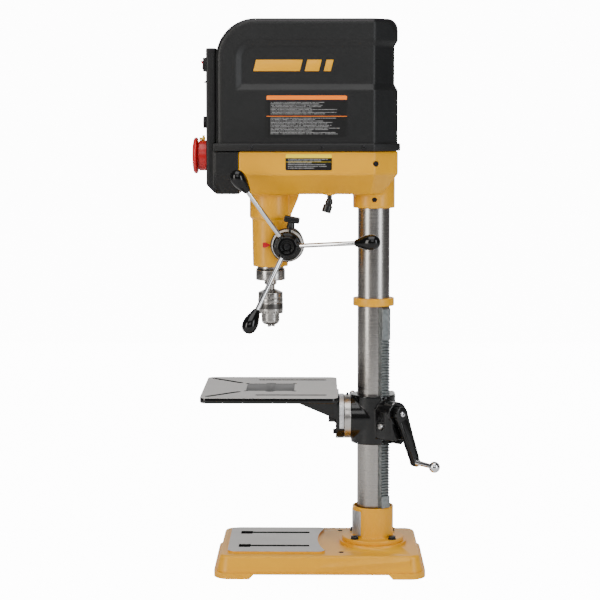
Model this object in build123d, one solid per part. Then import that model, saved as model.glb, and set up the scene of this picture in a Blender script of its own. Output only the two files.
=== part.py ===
from build123d import *
import math
import os

# Floor-standing bench drill press: cast base, steel column, crank-raised tilting table,
# belt-driven quill head with a three-spoke feed.
# Origin: the column's axis at floor level. +Z up, the operator stands on the -Y side.

os.makedirs("parts", exist_ok=True)

# ---- clearances ---------------------------------------------------------------------
RUN = 0.05        # radial clearance of a running fit
FREE = 0.4        # gap between pieces that only pass each other
LASH = 0.35       # thinning of each gear tooth flank
SEAT = 0.1        # gap under a plate or a body that sits on a face

# ---- main sizes ----------------------------------------------------------------------
THROAT = 225.5               # column axis to spindle axis
COLUMN_R = 35.0
COLUMN_WALL = 5.0
COLUMN_TOP = 905.0
TABLE_TOP = 392.0            # height of the table's working face
SPINDLE_R = 12.0
QUILL_R = 29.0
SPINDLE_Y = -THROAT

# ---- base ----------------------------------------------------------------------------
BASE_HALF_WIDTH = 145.0
BASE_FRONT = -345.0
BASE_BACK = 110.0
BASE_CORNER_R = 36.0
BASE_RIM = 13.0
BASE_WALL = 10.0
BASE_DRAFT = 14.0
BASE_SHOULDER = 5.0
DECK_TOP = 48.0
FOOT_HEIGHT = 10.0
FRONT_FOOT_BACK = -269.0
BACK_FOOT_FRONT = 40.0
PAD_HALF_WIDTH = 110.0
PAD_FRONT = -316.0
PAD_BACK = -104.0
PAD_THICK = 4.7
PAD_CORNER_R = 18.0
PAD_SCOOP_R = 330.0
PAD_SLOT_X = 60.0
PAD_SLOT_WIDTH = 14.0
PAD_SLOT_LENGTH = 154.0
PAD_SLOT_ENTRY = 26.0
PAD_SLOT_MARGIN = 22.0
BENCH_HOLE_X = 98.0
BENCH_HOLE_Y = -71.0
BENCH_HOLE_R = 5.5

# ---- column socket -----------------------------------------------------------------------
SOCKET_R = COLUMN_R + 10.0
FLANGE_R = SOCKET_R + 22.5
FLANGE_THICK = 9.0
SOCKET_BOSS_R = FLANGE_R + 6.5
SOCKET_BOSS_TOP = DECK_TOP + 6.0
SOCKET_TOP = SOCKET_BOSS_TOP + 76.5
SOCKET_BOLT_OFFSET = (FLANGE_R - 9.52) / math.sqrt(2)
COLUMN_BOTTOM = SOCKET_BOSS_TOP + 3.0
PLATE_BOTTOM = SOCKET_BOSS_TOP + FLANGE_THICK + 5.0
PLATE_TOP = SOCKET_TOP - 8.5
PLATE_THICK = 0.8
PLATE_HALF_ANGLE = 53.0

# ---- rack and its ring -----------------------------------------------------------------
RACK_ANGLE = 35.0
RACK_WIDTH = 22.0
RACK_THICK = 12.0
RACK_SPAN = 443.5
RACK_MODULE = 2.0
RACK_TEETH = 55
RACK_FIRST_TOOTH = SOCKET_TOP + 29.5
TONGUE_THICK = 4.0
TONGUE_LENGTH = 8.0
LIP_GAP = 1.0
COLLAR_R = COLUMN_R + 10.0
COLLAR_BOTTOM = SOCKET_TOP + RACK_SPAN
COLLAR_TOP = COLLAR_BOTTOM + 17.0
RING_SCREW_ANGLE = 40.0
RING_SCREW_R = 2.5

# ---- table bracket ---------------------------------------------------------------------
CLAMP_R = COLUMN_R + 14.0
CLAMP_BOTTOM = TABLE_TOP - 120.0
CLAMP_TOP = TABLE_TOP - 13.0
ARM_R = 48.5
ARM_Z = TABLE_TOP - 63.5
ARM_END = -(CLAMP_R + 0.5)
TILT_PLANE = ARM_END - 14.5
TILT_RING_R = ARM_R - 0.3
LIFT_GEAR_TEETH = 18
GEAR_AXLE_R = 6.0
GEAR_BOX_HALF = 26.0
WORM_Z = TABLE_TOP - 45.0
WORM_R = 9.5
WORM_JOURNAL_R = 8.0
WORM_BOSS_R = 24.0
WORM_BOSS_END = COLUMN_R + RACK_THICK + 42.0
CRANK_ARM_LENGTH = 117.0
CRANK_ARM_ANGLE = 20.2
CRANK_BOSS_R = 15.0
CRANK_TIP_R = 9.0
CRANK_THICK = 16.0
CRANK_HANDLE_LENGTH = 72.0
CRANK_STEM_R = 4.0
CRANK_SCREW_R = 3.0
CRANK_BALL_R = 12.2
LOCK_Z = TABLE_TOP - 26.0
LOCK_SCREW_R = 6.0
LOCK_HEAD_R = 10.0
LOCK_BOSS_R = 14.0
LOCK_BOSS_END = CLAMP_R + 15.0
LOCK_BAR_R = 4.0
LOCK_BAR_LENGTH = 88.0
LOCK_BALL_R = 7.5
SWING_BOLT_R = 4.0
SWING_LUG_R = 8.0
SWING_LUG_END = COLUMN_R + 23.0

# ---- table --------------------------------------------------------------------------------
TABLE_THICK = 12.0
TABLE_HALF_WIDTH = 152.5
TABLE_DEPTH = 293.0
TABLE_BACK = TILT_PLANE - 15.0
TABLE_Y = TABLE_BACK - TABLE_DEPTH / 2
TABLE_CORNER_R = 16.0
TABLE_SLOT_WIDTH = 12.0
SIDE_SLOT_X = TABLE_HALF_WIDTH - 45.5
SIDE_SLOT_FRONT = TABLE_Y - 30.5
SIDE_SLOT_BACK = TABLE_Y + 123.5
DIAGONAL_SLOT_LENGTH = 88.0
INSERT_SIZE = 105.0
INSERT_LOBE_R = 11.0
INSERT_DEPTH = 6.0
INSERT_RELIEF_R = 5.0
TRUNNION_THICK = 18.4
GUSSET_X = 34.0
GUSSET_HALF = 4.0
TILT_BOLT_R = 8.0
TILT_BOLT_ACROSS = 24.0
TILT_WASHER_R = 15.0
TILT_PIN_R = 3.0
TILT_PIN_DROP = 34.0

# ---- head -----------------------------------------------------------------------------------
HEAD_HALF_WIDTH = 119.0
HEAD_LOW_HALF_WIDTH = 66.0
HEAD_FRONT = SPINDLE_Y - 64.0
HEAD_BACK = COLUMN_R + 14.0
HEAD_TOP = COLUMN_TOP + 7.0
HEAD_CREASE = HEAD_TOP - 49.0
HEAD_BOTTOM = HEAD_TOP - 93.0
HEAD_WALL = 10.0
HEAD_FLOOR = HEAD_TOP - 40.0
COLUMN_BOSS_R = COLUMN_R + 10.7
COLUMN_BOSS_BOTTOM = HEAD_TOP - 124.5
HOUSING_UPPER_R = QUILL_R + 16.4
HOUSING_STEP = HEAD_TOP - 146.5
HOUSING_LOWER_R = QUILL_R + 11.5
HOUSING_END_R = QUILL_R + 9.5
HOUSING_BOTTOM = HEAD_TOP - 252.3
SET_SCREW_R = 5.5
LAMP_X = 60.0
LAMP_Y = SPINDLE_Y + 128.5
LAMP_BOSS_R = 9.0
LAMP_STEM_R = 5.0
LAMP_STEM_HALF = 14.0
LAMP_BALL_R = 7.0
LAMP_POD_R = 10.0
LAMP_LEAN = 17.0

# ---- belt cover and front panel -------------------------------------------------------------
COVER_HALF_WIDTH = HEAD_HALF_WIDTH
COVER_HEIGHT = 279.0
COVER_FRONT = HEAD_FRONT - 47.5
COVER_BACK = HEAD_BACK - 1.5
COVER_TOP = HEAD_TOP + COVER_HEIGHT
COVER_WALL = 4.0
COVER_FRONT_R = 84.0
COVER_BACK_R = 22.0
COVER_FLANGE = 6.0
COVER_FLANGE_TOP = HEAD_TOP + 16.5
COVER_BACK_CUT_X = 46.0
COVER_BACK_CUT_Y = 51.0
COVER_SCREW_STEPS = (73.3, 223.0, 312.0)
COVER_SCREW_R = 2.5
COVER_SCREW_HEAD_R = 5.6
ROOF_SCREW_X = 60.0
ROOF_SCREW_FRONT = COVER_FRONT + 108.0
ROOF_SCREW_BACK = COVER_BACK - 37.9
ROOF_SCREW_R = 2.0
BAND_DEPTH = 7.0
BAND_LOW = HEAD_TOP + 128.6
BAND_HIGH = HEAD_TOP + 233.4
BAND_SLOPE = 13.6
BAND_FRONT = COVER_FRONT + 42.0
PANEL_HALF_WIDTH = 84.0
PANEL_FRONT = COVER_FRONT - 23.0
PANEL_TOP = HEAD_TOP + 218.0
PANEL_BOTTOM = HEAD_BOTTOM + 3.0
PANEL_CHAMFER = 18.0
NOSE_FRONT = COVER_FRONT - 4.0

# ---- quill, spindle and chuck ------------------------------------------------------------------
QUILL_BOTTOM = HEAD_TOP - 257.0
QUILL_TOP = QUILL_BOTTOM + 157.0
QUILL_TRAVEL = 80.0
QUILL_CORE_R = SPINDLE_R + 4.0
BEARING_R = QUILL_R - 7.0
BEARING_WIDTH = 14.0
STOP_RING_R = QUILL_R + 3.0
STOP_RING_BOTTOM = QUILL_BOTTOM - 25.5
SPINDLE_TOP = HEAD_TOP + 110.0
NOSE_R = SPINDLE_R + 1.5
NOSE_BOTTOM = QUILL_BOTTOM - 36.0
ARBOR_R = 9.5
CHUCK_TOP = NOSE_BOTTOM - 10.0
CHUCK_SLEEVE_TOP = CHUCK_TOP - 20.0
CHUCK_SLEEVE_BOTTOM = CHUCK_SLEEVE_TOP - 33.0
CHUCK_R = 27.5
CHUCK_NOSE_R = CHUCK_R - 7.8
CHUCK_NOSE_END = CHUCK_SLEEVE_BOTTOM - 24.0
CHUCK_BORE_R = 5.5
CHUCK_TEETH = 24
CHUCK_KEY_ANGLES = (30, 150, 270)
CHUCK_KEY_R = 3.0
JAW_TIP = CHUCK_NOSE_END - 5.0
JAW_R = 4.0
JAW_ANGLE = 14.0
JAW_COUNT = 3
JAW_LENGTH = 34.0
JAW_TRAVEL = 28.0

# ---- feed ------------------------------------------------------------------------------------------
FEED_Z = HEAD_TOP - 203.0
PINION_MODULE = 2.0
PINION_TEETH = 11
PINION_FACE = 30.0
FEED_SHAFT_R = 10.0
FEED_TAIL_R = 8.0
FEED_BOSS_R = 27.0
FEED_BOSS_END = QUILL_R + 15.0
HUB_DISC_R = 31.0
HUB_NOSE_R = 22.0
HUB_NOSE_LENGTH = 16.0
HUB_SLEEVE_R = FEED_SHAFT_R + 6.0
HUB_END = FEED_BOSS_END + 61.0
DIAL_R = HUB_DISC_R + 6.0
DIAL_WIDTH = 14.0
DIAL_NECK = 12.0
DIAL_LOCK_R = 3.0
DIAL_LOCK_LEAN = 10.0
ROD_R = 5.0
ROD_COUNT = 3
ROD_FIRST_ANGLE = 4.4
ROD_ROOT_RADIUS = 14.0
ROD_ROOT_X = HUB_END - 12.0
ROD_TIP_RADIUS = 196.5
ROD_TIP_X = ROD_ROOT_X + 72.0
ROD_SOCKET = 20.0
GRIP_LENGTH = 55.5
GRIP_R = 16.6
SPRING_CAN_R = 33.0
SPRING_CAN_DEPTH = 30.0
SPRING_TURN_RADII = (9.5, 13.5, 17.5, 21.5)
POINTER_STAND_R = 3.0

# ---- drive -----------------------------------------------------------------------------------------
PULLEY_BOTTOM = HEAD_TOP + 12.0
PULLEY_TOP = PULLEY_BOTTOM + 22.0
PULLEY_LIP = 2.4
SPINDLE_PULLEY_R = 50.0
MOTOR_PULLEY_R = 25.0
MOTOR_Y = -50.0
MOTOR_R = 60.0
MOTOR_BOTTOM = PULLEY_TOP + 19.0
MOTOR_TOP = MOTOR_BOTTOM + 160.0
MOTOR_SHAFT_R = 9.0
SLEEVE_R = SPINDLE_R + 8.0
BELT_THICK = 4.0
BELT_WIDTH = 14.0
PLATE_HALF_X = MOTOR_R + 22.0
PLATE_HALF_Y = MOTOR_R + 14.0
MOUNT_PLATE_THICK = 7.0
MOTOR_POST_R = 6.0
MOTOR_POST_INSET = 10.0

# ---- switches and labels ---------------------------------------------------------------------------
ROCKER_Z = PANEL_TOP - 33.0
ROCKER_HALF_WIDTH = 22.0
ROCKER_PIN_R = 2.0
BEZEL_HALF_WIDTH = 27.0
BEZEL_HALF_HEIGHT = 14.5
BEZEL_DEPTH = 15.0
HOOD_Z = ROCKER_Z - 38.0
HOOD_HALF_WIDTH = 32.0
SPEED_Z = HEAD_TOP + 61.0
SPEED_KNOB_R = 14.75
SPEED_KNOB_DEPTH = 13.7
SPEED_STEM_R = 6.0
STOP_Z = HEAD_TOP - 11.0
STOP_BODY_R = 33.0
STOP_BODY_DEPTH = 20.0
STOP_STEM_R = 18.0
STOP_DISC_R = 39.5
STOP_DISC_DEPTH = 12.5
STOP_STROKE = 2.0
KEY_HALF_WIDTH = 6.0
SIGN_THICK = 0.6
SIGN_CORNER_R = 3.0
SIDE_SIGN_SPAN = (COVER_FRONT + 107.0, COVER_FRONT + 276.0)
SIDE_SIGN_HEIGHTS = (HEAD_TOP + 30.0, HEAD_TOP + 117.0)
HEAD_SIGN_SPAN = (COVER_FRONT + 147.0, COVER_FRONT + 244.5)
HEAD_SIGN_HEIGHTS = (HEAD_TOP - 40.0, HEAD_TOP - 6.0)

LOW = (Align.CENTER, Align.CENTER, Align.MIN)


# ---- small shared shapes ----------------------------------------------------------------------------
def save(node, shape):
    export_step(shape, f"parts/{node}.step")


def post(radius, low, high, x=0.0, y=0.0):
    return Pos(x, y, low) * Cylinder(radius, high - low, align=LOW)


def rod(radius, start, end, end_radius=None):
    path = Vector(*end) - Vector(*start)
    if end_radius is None:
        solid = Cylinder(radius, path.length, align=LOW)
    else:
        solid = Cone(radius, end_radius, path.length, align=LOW)
    return Plane(origin=start, z_dir=path) * solid


def block(x0, x1, y0, y1, z0, z1):
    return Pos((x0 + x1) / 2, (y0 + y1) / 2, (z0 + z1) / 2) * Box(x1 - x0, y1 - y0, z1 - z0)


def ring(outer, inner, low, high, x=0.0, y=0.0):
    return post(outer, low, high, x, y) - post(inner, low - 1, high + 1, x, y)


def slab(face, low, high, taper=0.0):
    return Pos(0, 0, low) * extrude(face, high - low, taper=taper)


def side_profile(points, half_width):
    """Extrude a (y, z) outline to both sides of the plane X = 0."""
    face = make_face(Polyline(*points, close=True))
    return extrude(Plane.YZ * face, half_width, both=True)


def hex_bolt(head_across, head_height, shank_r, shank_length):
    """Bolt standing on Z = 0 by its head, shank downwards."""
    head = extrude(RegularPolygon(head_across / 2, 6, major_radius=False), head_height)
    return head + Pos(0, 0, -shank_length) * Cylinder(shank_r, shank_length, align=LOW)


def around_rack(radial, tangential=0.0, z=0.0):
    """A point given along and across the rack's direction from the column."""
    a = math.radians(RACK_ANGLE)
    x = radial * math.cos(a) - tangential * math.sin(a)
    y = radial * math.sin(a) + tangential * math.cos(a)
    return (x, y, z)


def spur_gear(module, teeth, width, bore):
    """Straight-sided spur gear on the Z axis, with a tooth on +X."""
    pitch_r = module * teeth / 2
    step = 360 / teeth
    rim = []
    for index in range(teeth):
        for radius, share in ((pitch_r - 1.25 * module, -0.36), (pitch_r + module, -0.12),
                              (pitch_r + module, 0.12), (pitch_r - 1.25 * module, 0.36)):
            lash = math.degrees(LASH / 2 / pitch_r)
            angle = math.radians((index + share) * step + (lash if share < 0 else -lash))
            rim.append((radius * math.cos(angle), radius * math.sin(angle)))
    gear = extrude(make_face(Polyline(*rim, close=True)), width / 2, both=True)
    return gear - Cylinder(bore, width * 2) if bore else gear


def rack_grooves(module, count, first, surface, depth_dir, width):
    """Tooth gaps of a vertical rack, cut from a surface at y = surface towards depth_dir."""
    pitch = math.pi * module
    top = pitch * 0.36 + LASH / 2
    floor = pitch * 0.14 + LASH / 2
    grooves = []
    for index in range(count):
        z = first + pitch * index
        outer = surface - depth_dir * 0.5
        inner = surface + depth_dir * 2.25 * module
        corners = [(outer, z - top), (inner, z - floor), (inner, z + floor), (outer, z + top)]
        grooves.append(side_profile(corners, width / 2))
    return grooves


# ---- base -------------------------------------------------------------------------------------------
def base_plan(inset):
    width = 2 * (BASE_HALF_WIDTH - inset)
    depth = BASE_BACK - BASE_FRONT - 2 * inset
    corner = max(BASE_CORNER_R - inset, 4.0)
    return Pos(0, (BASE_FRONT + BASE_BACK) / 2) * RectangleRounded(width, depth, corner)


def pad_plan():
    sheet = RectangleRounded(2 * PAD_HALF_WIDTH, PAD_BACK - PAD_FRONT, PAD_CORNER_R)
    plan = Pos(0, (PAD_FRONT + PAD_BACK) / 2) * sheet
    scoop_y = PAD_BACK - PAD_CORNER_R + PAD_SCOOP_R
    return plan - Pos(0, scoop_y) * Circle(PAD_SCOOP_R)


def pad_slots():
    slots = []
    for side in (-1, 1):
        start = PAD_FRONT + PAD_SLOT_MARGIN
        middle = start + PAD_SLOT_LENGTH / 2
        slots.append(block(side * PAD_SLOT_X - PAD_SLOT_WIDTH / 2, side * PAD_SLOT_X + PAD_SLOT_WIDTH / 2,
                           middle - PAD_SLOT_LENGTH / 2, middle + PAD_SLOT_LENGTH / 2,
                           0, DECK_TOP + PAD_THICK + 1))
        slots.append(block(side * PAD_SLOT_X - PAD_SLOT_ENTRY / 2, side * PAD_SLOT_X + PAD_SLOT_ENTRY / 2,
                           start, start + PAD_SLOT_ENTRY, 0, DECK_TOP + PAD_THICK + 1))
    return slots


def make_base():
    rim = slab(base_plan(0), 0, BASE_RIM)
    body = slab(base_plan(BASE_SHOULDER), BASE_RIM, DECK_TOP, taper=BASE_DRAFT)
    body = fillet(body.faces().sort_by(Axis.Z)[-1].edges(), 7.0)
    hollow = slab(base_plan(BASE_WALL + 6.0), -1, DECK_TOP - BASE_WALL - 1, taper=BASE_DRAFT)
    pad = slab(pad_plan(), DECK_TOP - 1, DECK_TOP + PAD_THICK)
    boss = post(SOCKET_BOSS_R, DECK_TOP - BASE_WALL - 2, SOCKET_BOSS_TOP)
    base = rim + body - hollow + pad + boss
    gap = side_profile([(FRONT_FOOT_BACK + FOOT_HEIGHT, FOOT_HEIGHT), (FRONT_FOOT_BACK, -1),
                        (BACK_FOOT_FRONT, -1), (BACK_FOOT_FRONT - FOOT_HEIGHT, FOOT_HEIGHT)],
                       BASE_HALF_WIDTH + 5)
    base -= gap
    base -= pad_slots()
    base -= [post(BENCH_HOLE_R, 0, DECK_TOP + 5, s * BENCH_HOLE_X, BENCH_HOLE_Y) for s in (-1, 1)]
    base -= socket_bolt_shapes(RUN)
    save("base", base)


# ---- column socket ---------------------------------------------------------------------------------
def socket_bolt_shapes(grow=0.0):
    top = SOCKET_BOSS_TOP + FLANGE_THICK
    return [Pos(x, y, top) * hex_bolt(16.0 + grow, 7.0, 5.0 + grow, 22.0)
            for x in (-SOCKET_BOLT_OFFSET, SOCKET_BOLT_OFFSET)
            for y in (-SOCKET_BOLT_OFFSET, SOCKET_BOLT_OFFSET)]


def make_socket():
    lip_r = COLUMN_R + FREE + TONGUE_THICK + LIP_GAP
    socket = post(FLANGE_R, SOCKET_BOSS_TOP, SOCKET_BOSS_TOP + FLANGE_THICK)
    socket += post(SOCKET_R, SOCKET_BOSS_TOP, SOCKET_TOP)
    socket -= post(COLUMN_R + RUN, SOCKET_BOSS_TOP - 1, SOCKET_TOP + 1)
    socket -= post(lip_r, SOCKET_TOP - TONGUE_LENGTH - LIP_GAP, SOCKET_TOP + 1)
    socket -= socket_bolt_shapes(RUN)
    save("column_socket", socket)
    save("socket_bolts", Compound(children=socket_bolt_shapes()))
    plate = ring(SOCKET_R + RUN + PLATE_THICK, SOCKET_R + RUN, PLATE_BOTTOM, PLATE_TOP)
    reach = 3 * SOCKET_R
    half = math.radians(PLATE_HALF_ANGLE)
    wedge = Polyline((0, 0), (-reach * math.sin(half), -reach * math.cos(half)),
                     (reach * math.sin(half), -reach * math.cos(half)), close=True)
    save("maker_plate", plate & slab(make_face(wedge), PLATE_BOTTOM - 5, PLATE_TOP + 5))


def make_column():
    column = ring(COLUMN_R, COLUMN_R - COLUMN_WALL, COLUMN_BOTTOM, COLUMN_TOP)
    save("column", column)


# ---- rack and ring ---------------------------------------------------------------------------------
def make_rack():
    inner = COLUMN_R + FREE
    outer = inner + RACK_THICK
    half = RACK_WIDTH / 2
    low = SOCKET_TOP + LIP_GAP
    high = COLLAR_BOTTOM - LIP_GAP
    body = block(-half, half, inner - 6, outer, low, high)
    tongue_outer = inner + TONGUE_THICK - 1.6
    tongue = block(-half, half, inner - 6, tongue_outer, low - TONGUE_LENGTH, high + TONGUE_LENGTH)
    rack = body + tongue - post(inner, low - 50, high + 50)
    rack -= rack_grooves(RACK_MODULE, RACK_TEETH, RACK_FIRST_TOOTH, outer, -1, RACK_WIDTH + 2)
    rack -= Pos(0, outer, high) * Rot(45, 0, 0) * Box(RACK_WIDTH + 2, 6, 6)
    save("rack", Rot(0, 0, RACK_ANGLE - 90) * rack)


def make_rack_ring():
    lip_r = COLUMN_R + FREE + TONGUE_THICK + LIP_GAP
    collar = ring(COLLAR_R, COLUMN_R + RUN, COLLAR_BOTTOM, COLLAR_TOP)
    collar -= post(lip_r, COLLAR_BOTTOM - 1, COLLAR_BOTTOM + TONGUE_LENGTH)
    middle = (COLLAR_TOP + COLLAR_BOTTOM + TONGUE_LENGTH) / 2
    screw = rod(RING_SCREW_R, (0, COLUMN_R + 0.5, middle), (0, COLLAR_R - 0.6, middle))
    turn = Rot(0, 0, RING_SCREW_ANGLE)
    hole = turn * rod(RING_SCREW_R + RUN, (0, COLUMN_R - 1, middle), (0, COLLAR_R + 2, middle))
    save("rack_ring", collar - hole)
    return turn * screw


# ---- table bracket ---------------------------------------------------------------------------------
def lift_gear_centre():
    pitch_line = COLUMN_R + FREE + RACK_THICK - RACK_MODULE
    radial = pitch_line + RACK_MODULE * LIFT_GEAR_TEETH / 2
    drop = RACK_MODULE * (LIFT_GEAR_TEETH / 2 + 1) + WORM_R + FREE
    return radial, WORM_Z - drop


def gear_box():
    gear_z = lift_gear_centre()[1]
    low = gear_z - RACK_MODULE * (LIFT_GEAR_TEETH / 2 + 1) - 9
    box = block(0, WORM_BOSS_END - 1, -GEAR_BOX_HALF, GEAR_BOX_HALF, low, WORM_Z + 4)
    box = chamfer(box.edges().filter_by(Axis.Z).group_by(Axis.X)[-1], 10)
    return Rot(0, 0, RACK_ANGLE) * box


def make_bracket():
    radial, gear_z = lift_gear_centre()
    gear_r = RACK_MODULE * (LIFT_GEAR_TEETH / 2 + 1)
    casting = post(CLAMP_R, CLAMP_BOTTOM, CLAMP_TOP)
    casting += rod(ARM_R, (0, 0, ARM_Z), (0, ARM_END, ARM_Z))
    casting += rod(TILT_RING_R, (0, ARM_END, ARM_Z), (0, TILT_PLANE, ARM_Z))
    casting += gear_box()
    casting += rod(WORM_BOSS_R, around_rack(20, 0, WORM_Z), around_rack(WORM_BOSS_END, 0, WORM_Z))
    casting += rod(LOCK_BOSS_R, (-COLUMN_R + 15, 0, LOCK_Z), (-LOCK_BOSS_END, 0, LOCK_Z))
    casting -= post(COLUMN_R + RUN * 2, CLAMP_BOTTOM - 60, CLAMP_TOP + 60)
    channel = block(0, COLUMN_R + FREE + RACK_THICK + FREE, -RACK_WIDTH / 2 - FREE, RACK_WIDTH / 2 + FREE,
                    CLAMP_BOTTOM - 60, CLAMP_TOP + 60)
    casting -= Rot(0, 0, RACK_ANGLE) * channel
    width = RACK_WIDTH / 2 + 1
    casting -= rod(gear_r + 1, around_rack(radial, -width, gear_z), around_rack(radial, width, gear_z))
    casting -= rod(GEAR_AXLE_R + RUN, around_rack(radial, -40, gear_z), around_rack(radial, 40, gear_z))
    worm_start = COLUMN_R + RACK_THICK
    casting -= rod(WORM_R + 0.6, around_rack(worm_start, 0, WORM_Z), around_rack(radial + 17, 0, WORM_Z))
    worm_end = around_rack(WORM_BOSS_END + 5, 0, WORM_Z)
    casting -= rod(WORM_JOURNAL_R + RUN, around_rack(radial, 0, WORM_Z), worm_end)
    casting -= rod(LOCK_SCREW_R + RUN, (-COLUMN_R + 15, 0, LOCK_Z), (-LOCK_BOSS_END - 5, 0, LOCK_Z))
    casting -= rod(TILT_BOLT_R + RUN, (0, TILT_PLANE - 5, ARM_Z), (0, -COLUMN_R - 6, ARM_Z))
    bolt_z = CLAMP_BOTTOM + SWING_LUG_R - 0.6
    side = GEAR_BOX_HALF
    lug = around_rack(COLUMN_R - 5, side, bolt_z)
    casting += rod(SWING_LUG_R, lug, around_rack(SWING_LUG_END, side, bolt_z))
    casting -= post(COLUMN_R + RUN * 2, CLAMP_BOTTOM - 60, CLAMP_TOP + 60)
    far = SWING_LUG_END + 12
    casting -= rod(SWING_BOLT_R + RUN, lug, around_rack(far, side, bolt_z))
    save("table_bracket", casting)
    seat = Plane(origin=around_rack(SWING_LUG_END, side, bolt_z), z_dir=around_rack(1))
    bolt = seat * hex_bolt(13, 8, SWING_BOLT_R, 26)
    save("swing_lock_bolt", bolt)
    axle = rod(GEAR_AXLE_R, around_rack(radial, -side - 5, gear_z), around_rack(radial, side + 1, gear_z))
    save("lift_gear_axle", axle)


def make_lift_gear():
    radial, gear_z = lift_gear_centre()
    gear = spur_gear(RACK_MODULE, LIFT_GEAR_TEETH, RACK_WIDTH - 2, GEAR_AXLE_R + RUN)
    # A rack tooth gap must face a gear tooth where the pitch lines meet.
    pitch = math.pi * RACK_MODULE
    steps = (gear_z - RACK_FIRST_TOOTH) / pitch
    offset = (steps - math.floor(steps)) * pitch
    turn = -math.degrees(offset / (RACK_MODULE * LIFT_GEAR_TEETH / 2))
    frame = Plane(origin=around_rack(radial, 0, gear_z), x_dir=around_rack(-1), z_dir=around_rack(0, 1))
    save("lift_gear", frame * Rot(0, 0, turn) * gear)


def crank_tip():
    a = math.radians(CRANK_ARM_ANGLE)
    return CRANK_ARM_LENGTH * math.sin(a), WORM_Z - CRANK_ARM_LENGTH * math.cos(a)


def make_crank():
    radial = lift_gear_centre()[0]
    hub = WORM_BOSS_END + FREE
    start = COLUMN_R + RACK_THICK + 3
    shaft = rod(WORM_R, around_rack(start, 0, WORM_Z), around_rack(radial + 16, 0, WORM_Z))
    shaft += rod(WORM_JOURNAL_R, around_rack(radial + 15, 0, WORM_Z), around_rack(hub + 12, 0, WORM_Z))
    save("worm_shaft", shaft)
    across, low = crank_tip()
    face = hub + CRANK_THICK
    arm = rod(CRANK_BOSS_R, around_rack(hub, 0, WORM_Z), around_rack(face, 0, WORM_Z))
    arm += rod(CRANK_TIP_R, around_rack(hub + 2, across, low), around_rack(face, across, low))
    bar = Box(11, 16, CRANK_ARM_LENGTH)
    frame = Plane(origin=around_rack(hub + 9, across / 2, (WORM_Z + low) / 2),
                  x_dir=around_rack(1), z_dir=Vector(*around_rack(0, across)) + Vector(0, 0, low - WORM_Z))
    arm += frame * bar
    arm -= rod(WORM_JOURNAL_R + RUN, around_rack(hub - 2, 0, WORM_Z), around_rack(hub + 12.2, 0, WORM_Z))
    arm -= rod(CRANK_SCREW_R + RUN, around_rack(hub, 0, WORM_Z), around_rack(face + 4, 0, WORM_Z))
    arm -= rod(CRANK_STEM_R + RUN, around_rack(hub, across, low), around_rack(face + 4, across, low))
    save("lift_crank", arm)
    screw = rod(CRANK_SCREW_R, around_rack(hub + 12.3, 0, WORM_Z), around_rack(face, 0, WORM_Z))
    screw += rod(2 * CRANK_SCREW_R, around_rack(face, 0, WORM_Z), around_rack(face + 3, 0, WORM_Z))
    save("crank_screw", screw)
    end = face + CRANK_HANDLE_LENGTH - 2 * CRANK_BALL_R
    handle = rod(CRANK_STEM_R, around_rack(hub + 4, across, low), around_rack(face, across, low))
    handle += rod(CRANK_STEM_R + 1.6, around_rack(face, across, low), around_rack(end + 4, across, low),
                  CRANK_STEM_R + 0.8)
    handle += Pos(*around_rack(end + CRANK_BALL_R, across, low)) * Sphere(CRANK_BALL_R)
    save("crank_handle", handle)


def make_column_lock():
    end = LOCK_BOSS_END + 12
    screw = rod(LOCK_SCREW_R, (-COLUMN_R - 0.4, 0, LOCK_Z), (-end + 6, 0, LOCK_Z))
    screw += rod(LOCK_HEAD_R, (-LOCK_BOSS_END - FREE, 0, LOCK_Z), (-end - 6, 0, LOCK_Z))
    half = LOCK_BAR_LENGTH / 2
    screw -= rod(LOCK_BAR_R + RUN, (-end, -half, LOCK_Z), (-end, half, LOCK_Z))
    bar = rod(LOCK_BAR_R, (-end, -half, LOCK_Z), (-end, half, LOCK_Z))
    bar += [Pos(-end, side * half, LOCK_Z) * Sphere(LOCK_BALL_R) for side in (-1, 1)]
    save("column_lock", Compound(children=[screw, bar]))


# ---- table ---------------------------------------------------------------------------------------
def diagonal_slot(side):
    start = Vector(side * (TABLE_HALF_WIDTH - 26), TABLE_Y - TABLE_DEPTH / 2 + 16)
    slot = SlotCenterToCenter(DIAGONAL_SLOT_LENGTH, TABLE_SLOT_WIDTH)
    return Pos(start.X - side * 31.0, start.Y + 31.0) * Rot(0, 0, -side * 45) * slot


def table_slots():
    length = SIDE_SLOT_BACK - SIDE_SLOT_FRONT - TABLE_SLOT_WIDTH
    middle = (SIDE_SLOT_BACK + SIDE_SLOT_FRONT) / 2
    cuts = []
    for side in (-1, 1):
        slot = Rot(0, 0, 90) * SlotCenterToCenter(length, TABLE_SLOT_WIDTH)
        straight = Pos(side * SIDE_SLOT_X, middle) * slot
        cuts.append(slab(straight, TABLE_TOP - 40, TABLE_TOP + 2))
        cuts.append(slab(diagonal_slot(side), TABLE_TOP - 40, TABLE_TOP + 2))
    return cuts


def insert_plan(gap):
    size = INSERT_SIZE - 2 * gap
    plan = Pos(0, SPINDLE_Y) * Rectangle(size, size)
    plan += Pos(-INSERT_SIZE / 2, SPINDLE_Y) * Circle(INSERT_LOBE_R - gap)
    plan += Pos(INSERT_SIZE / 2, SPINDLE_Y) * Circle(INSERT_LOBE_R - gap)
    return plan


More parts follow.
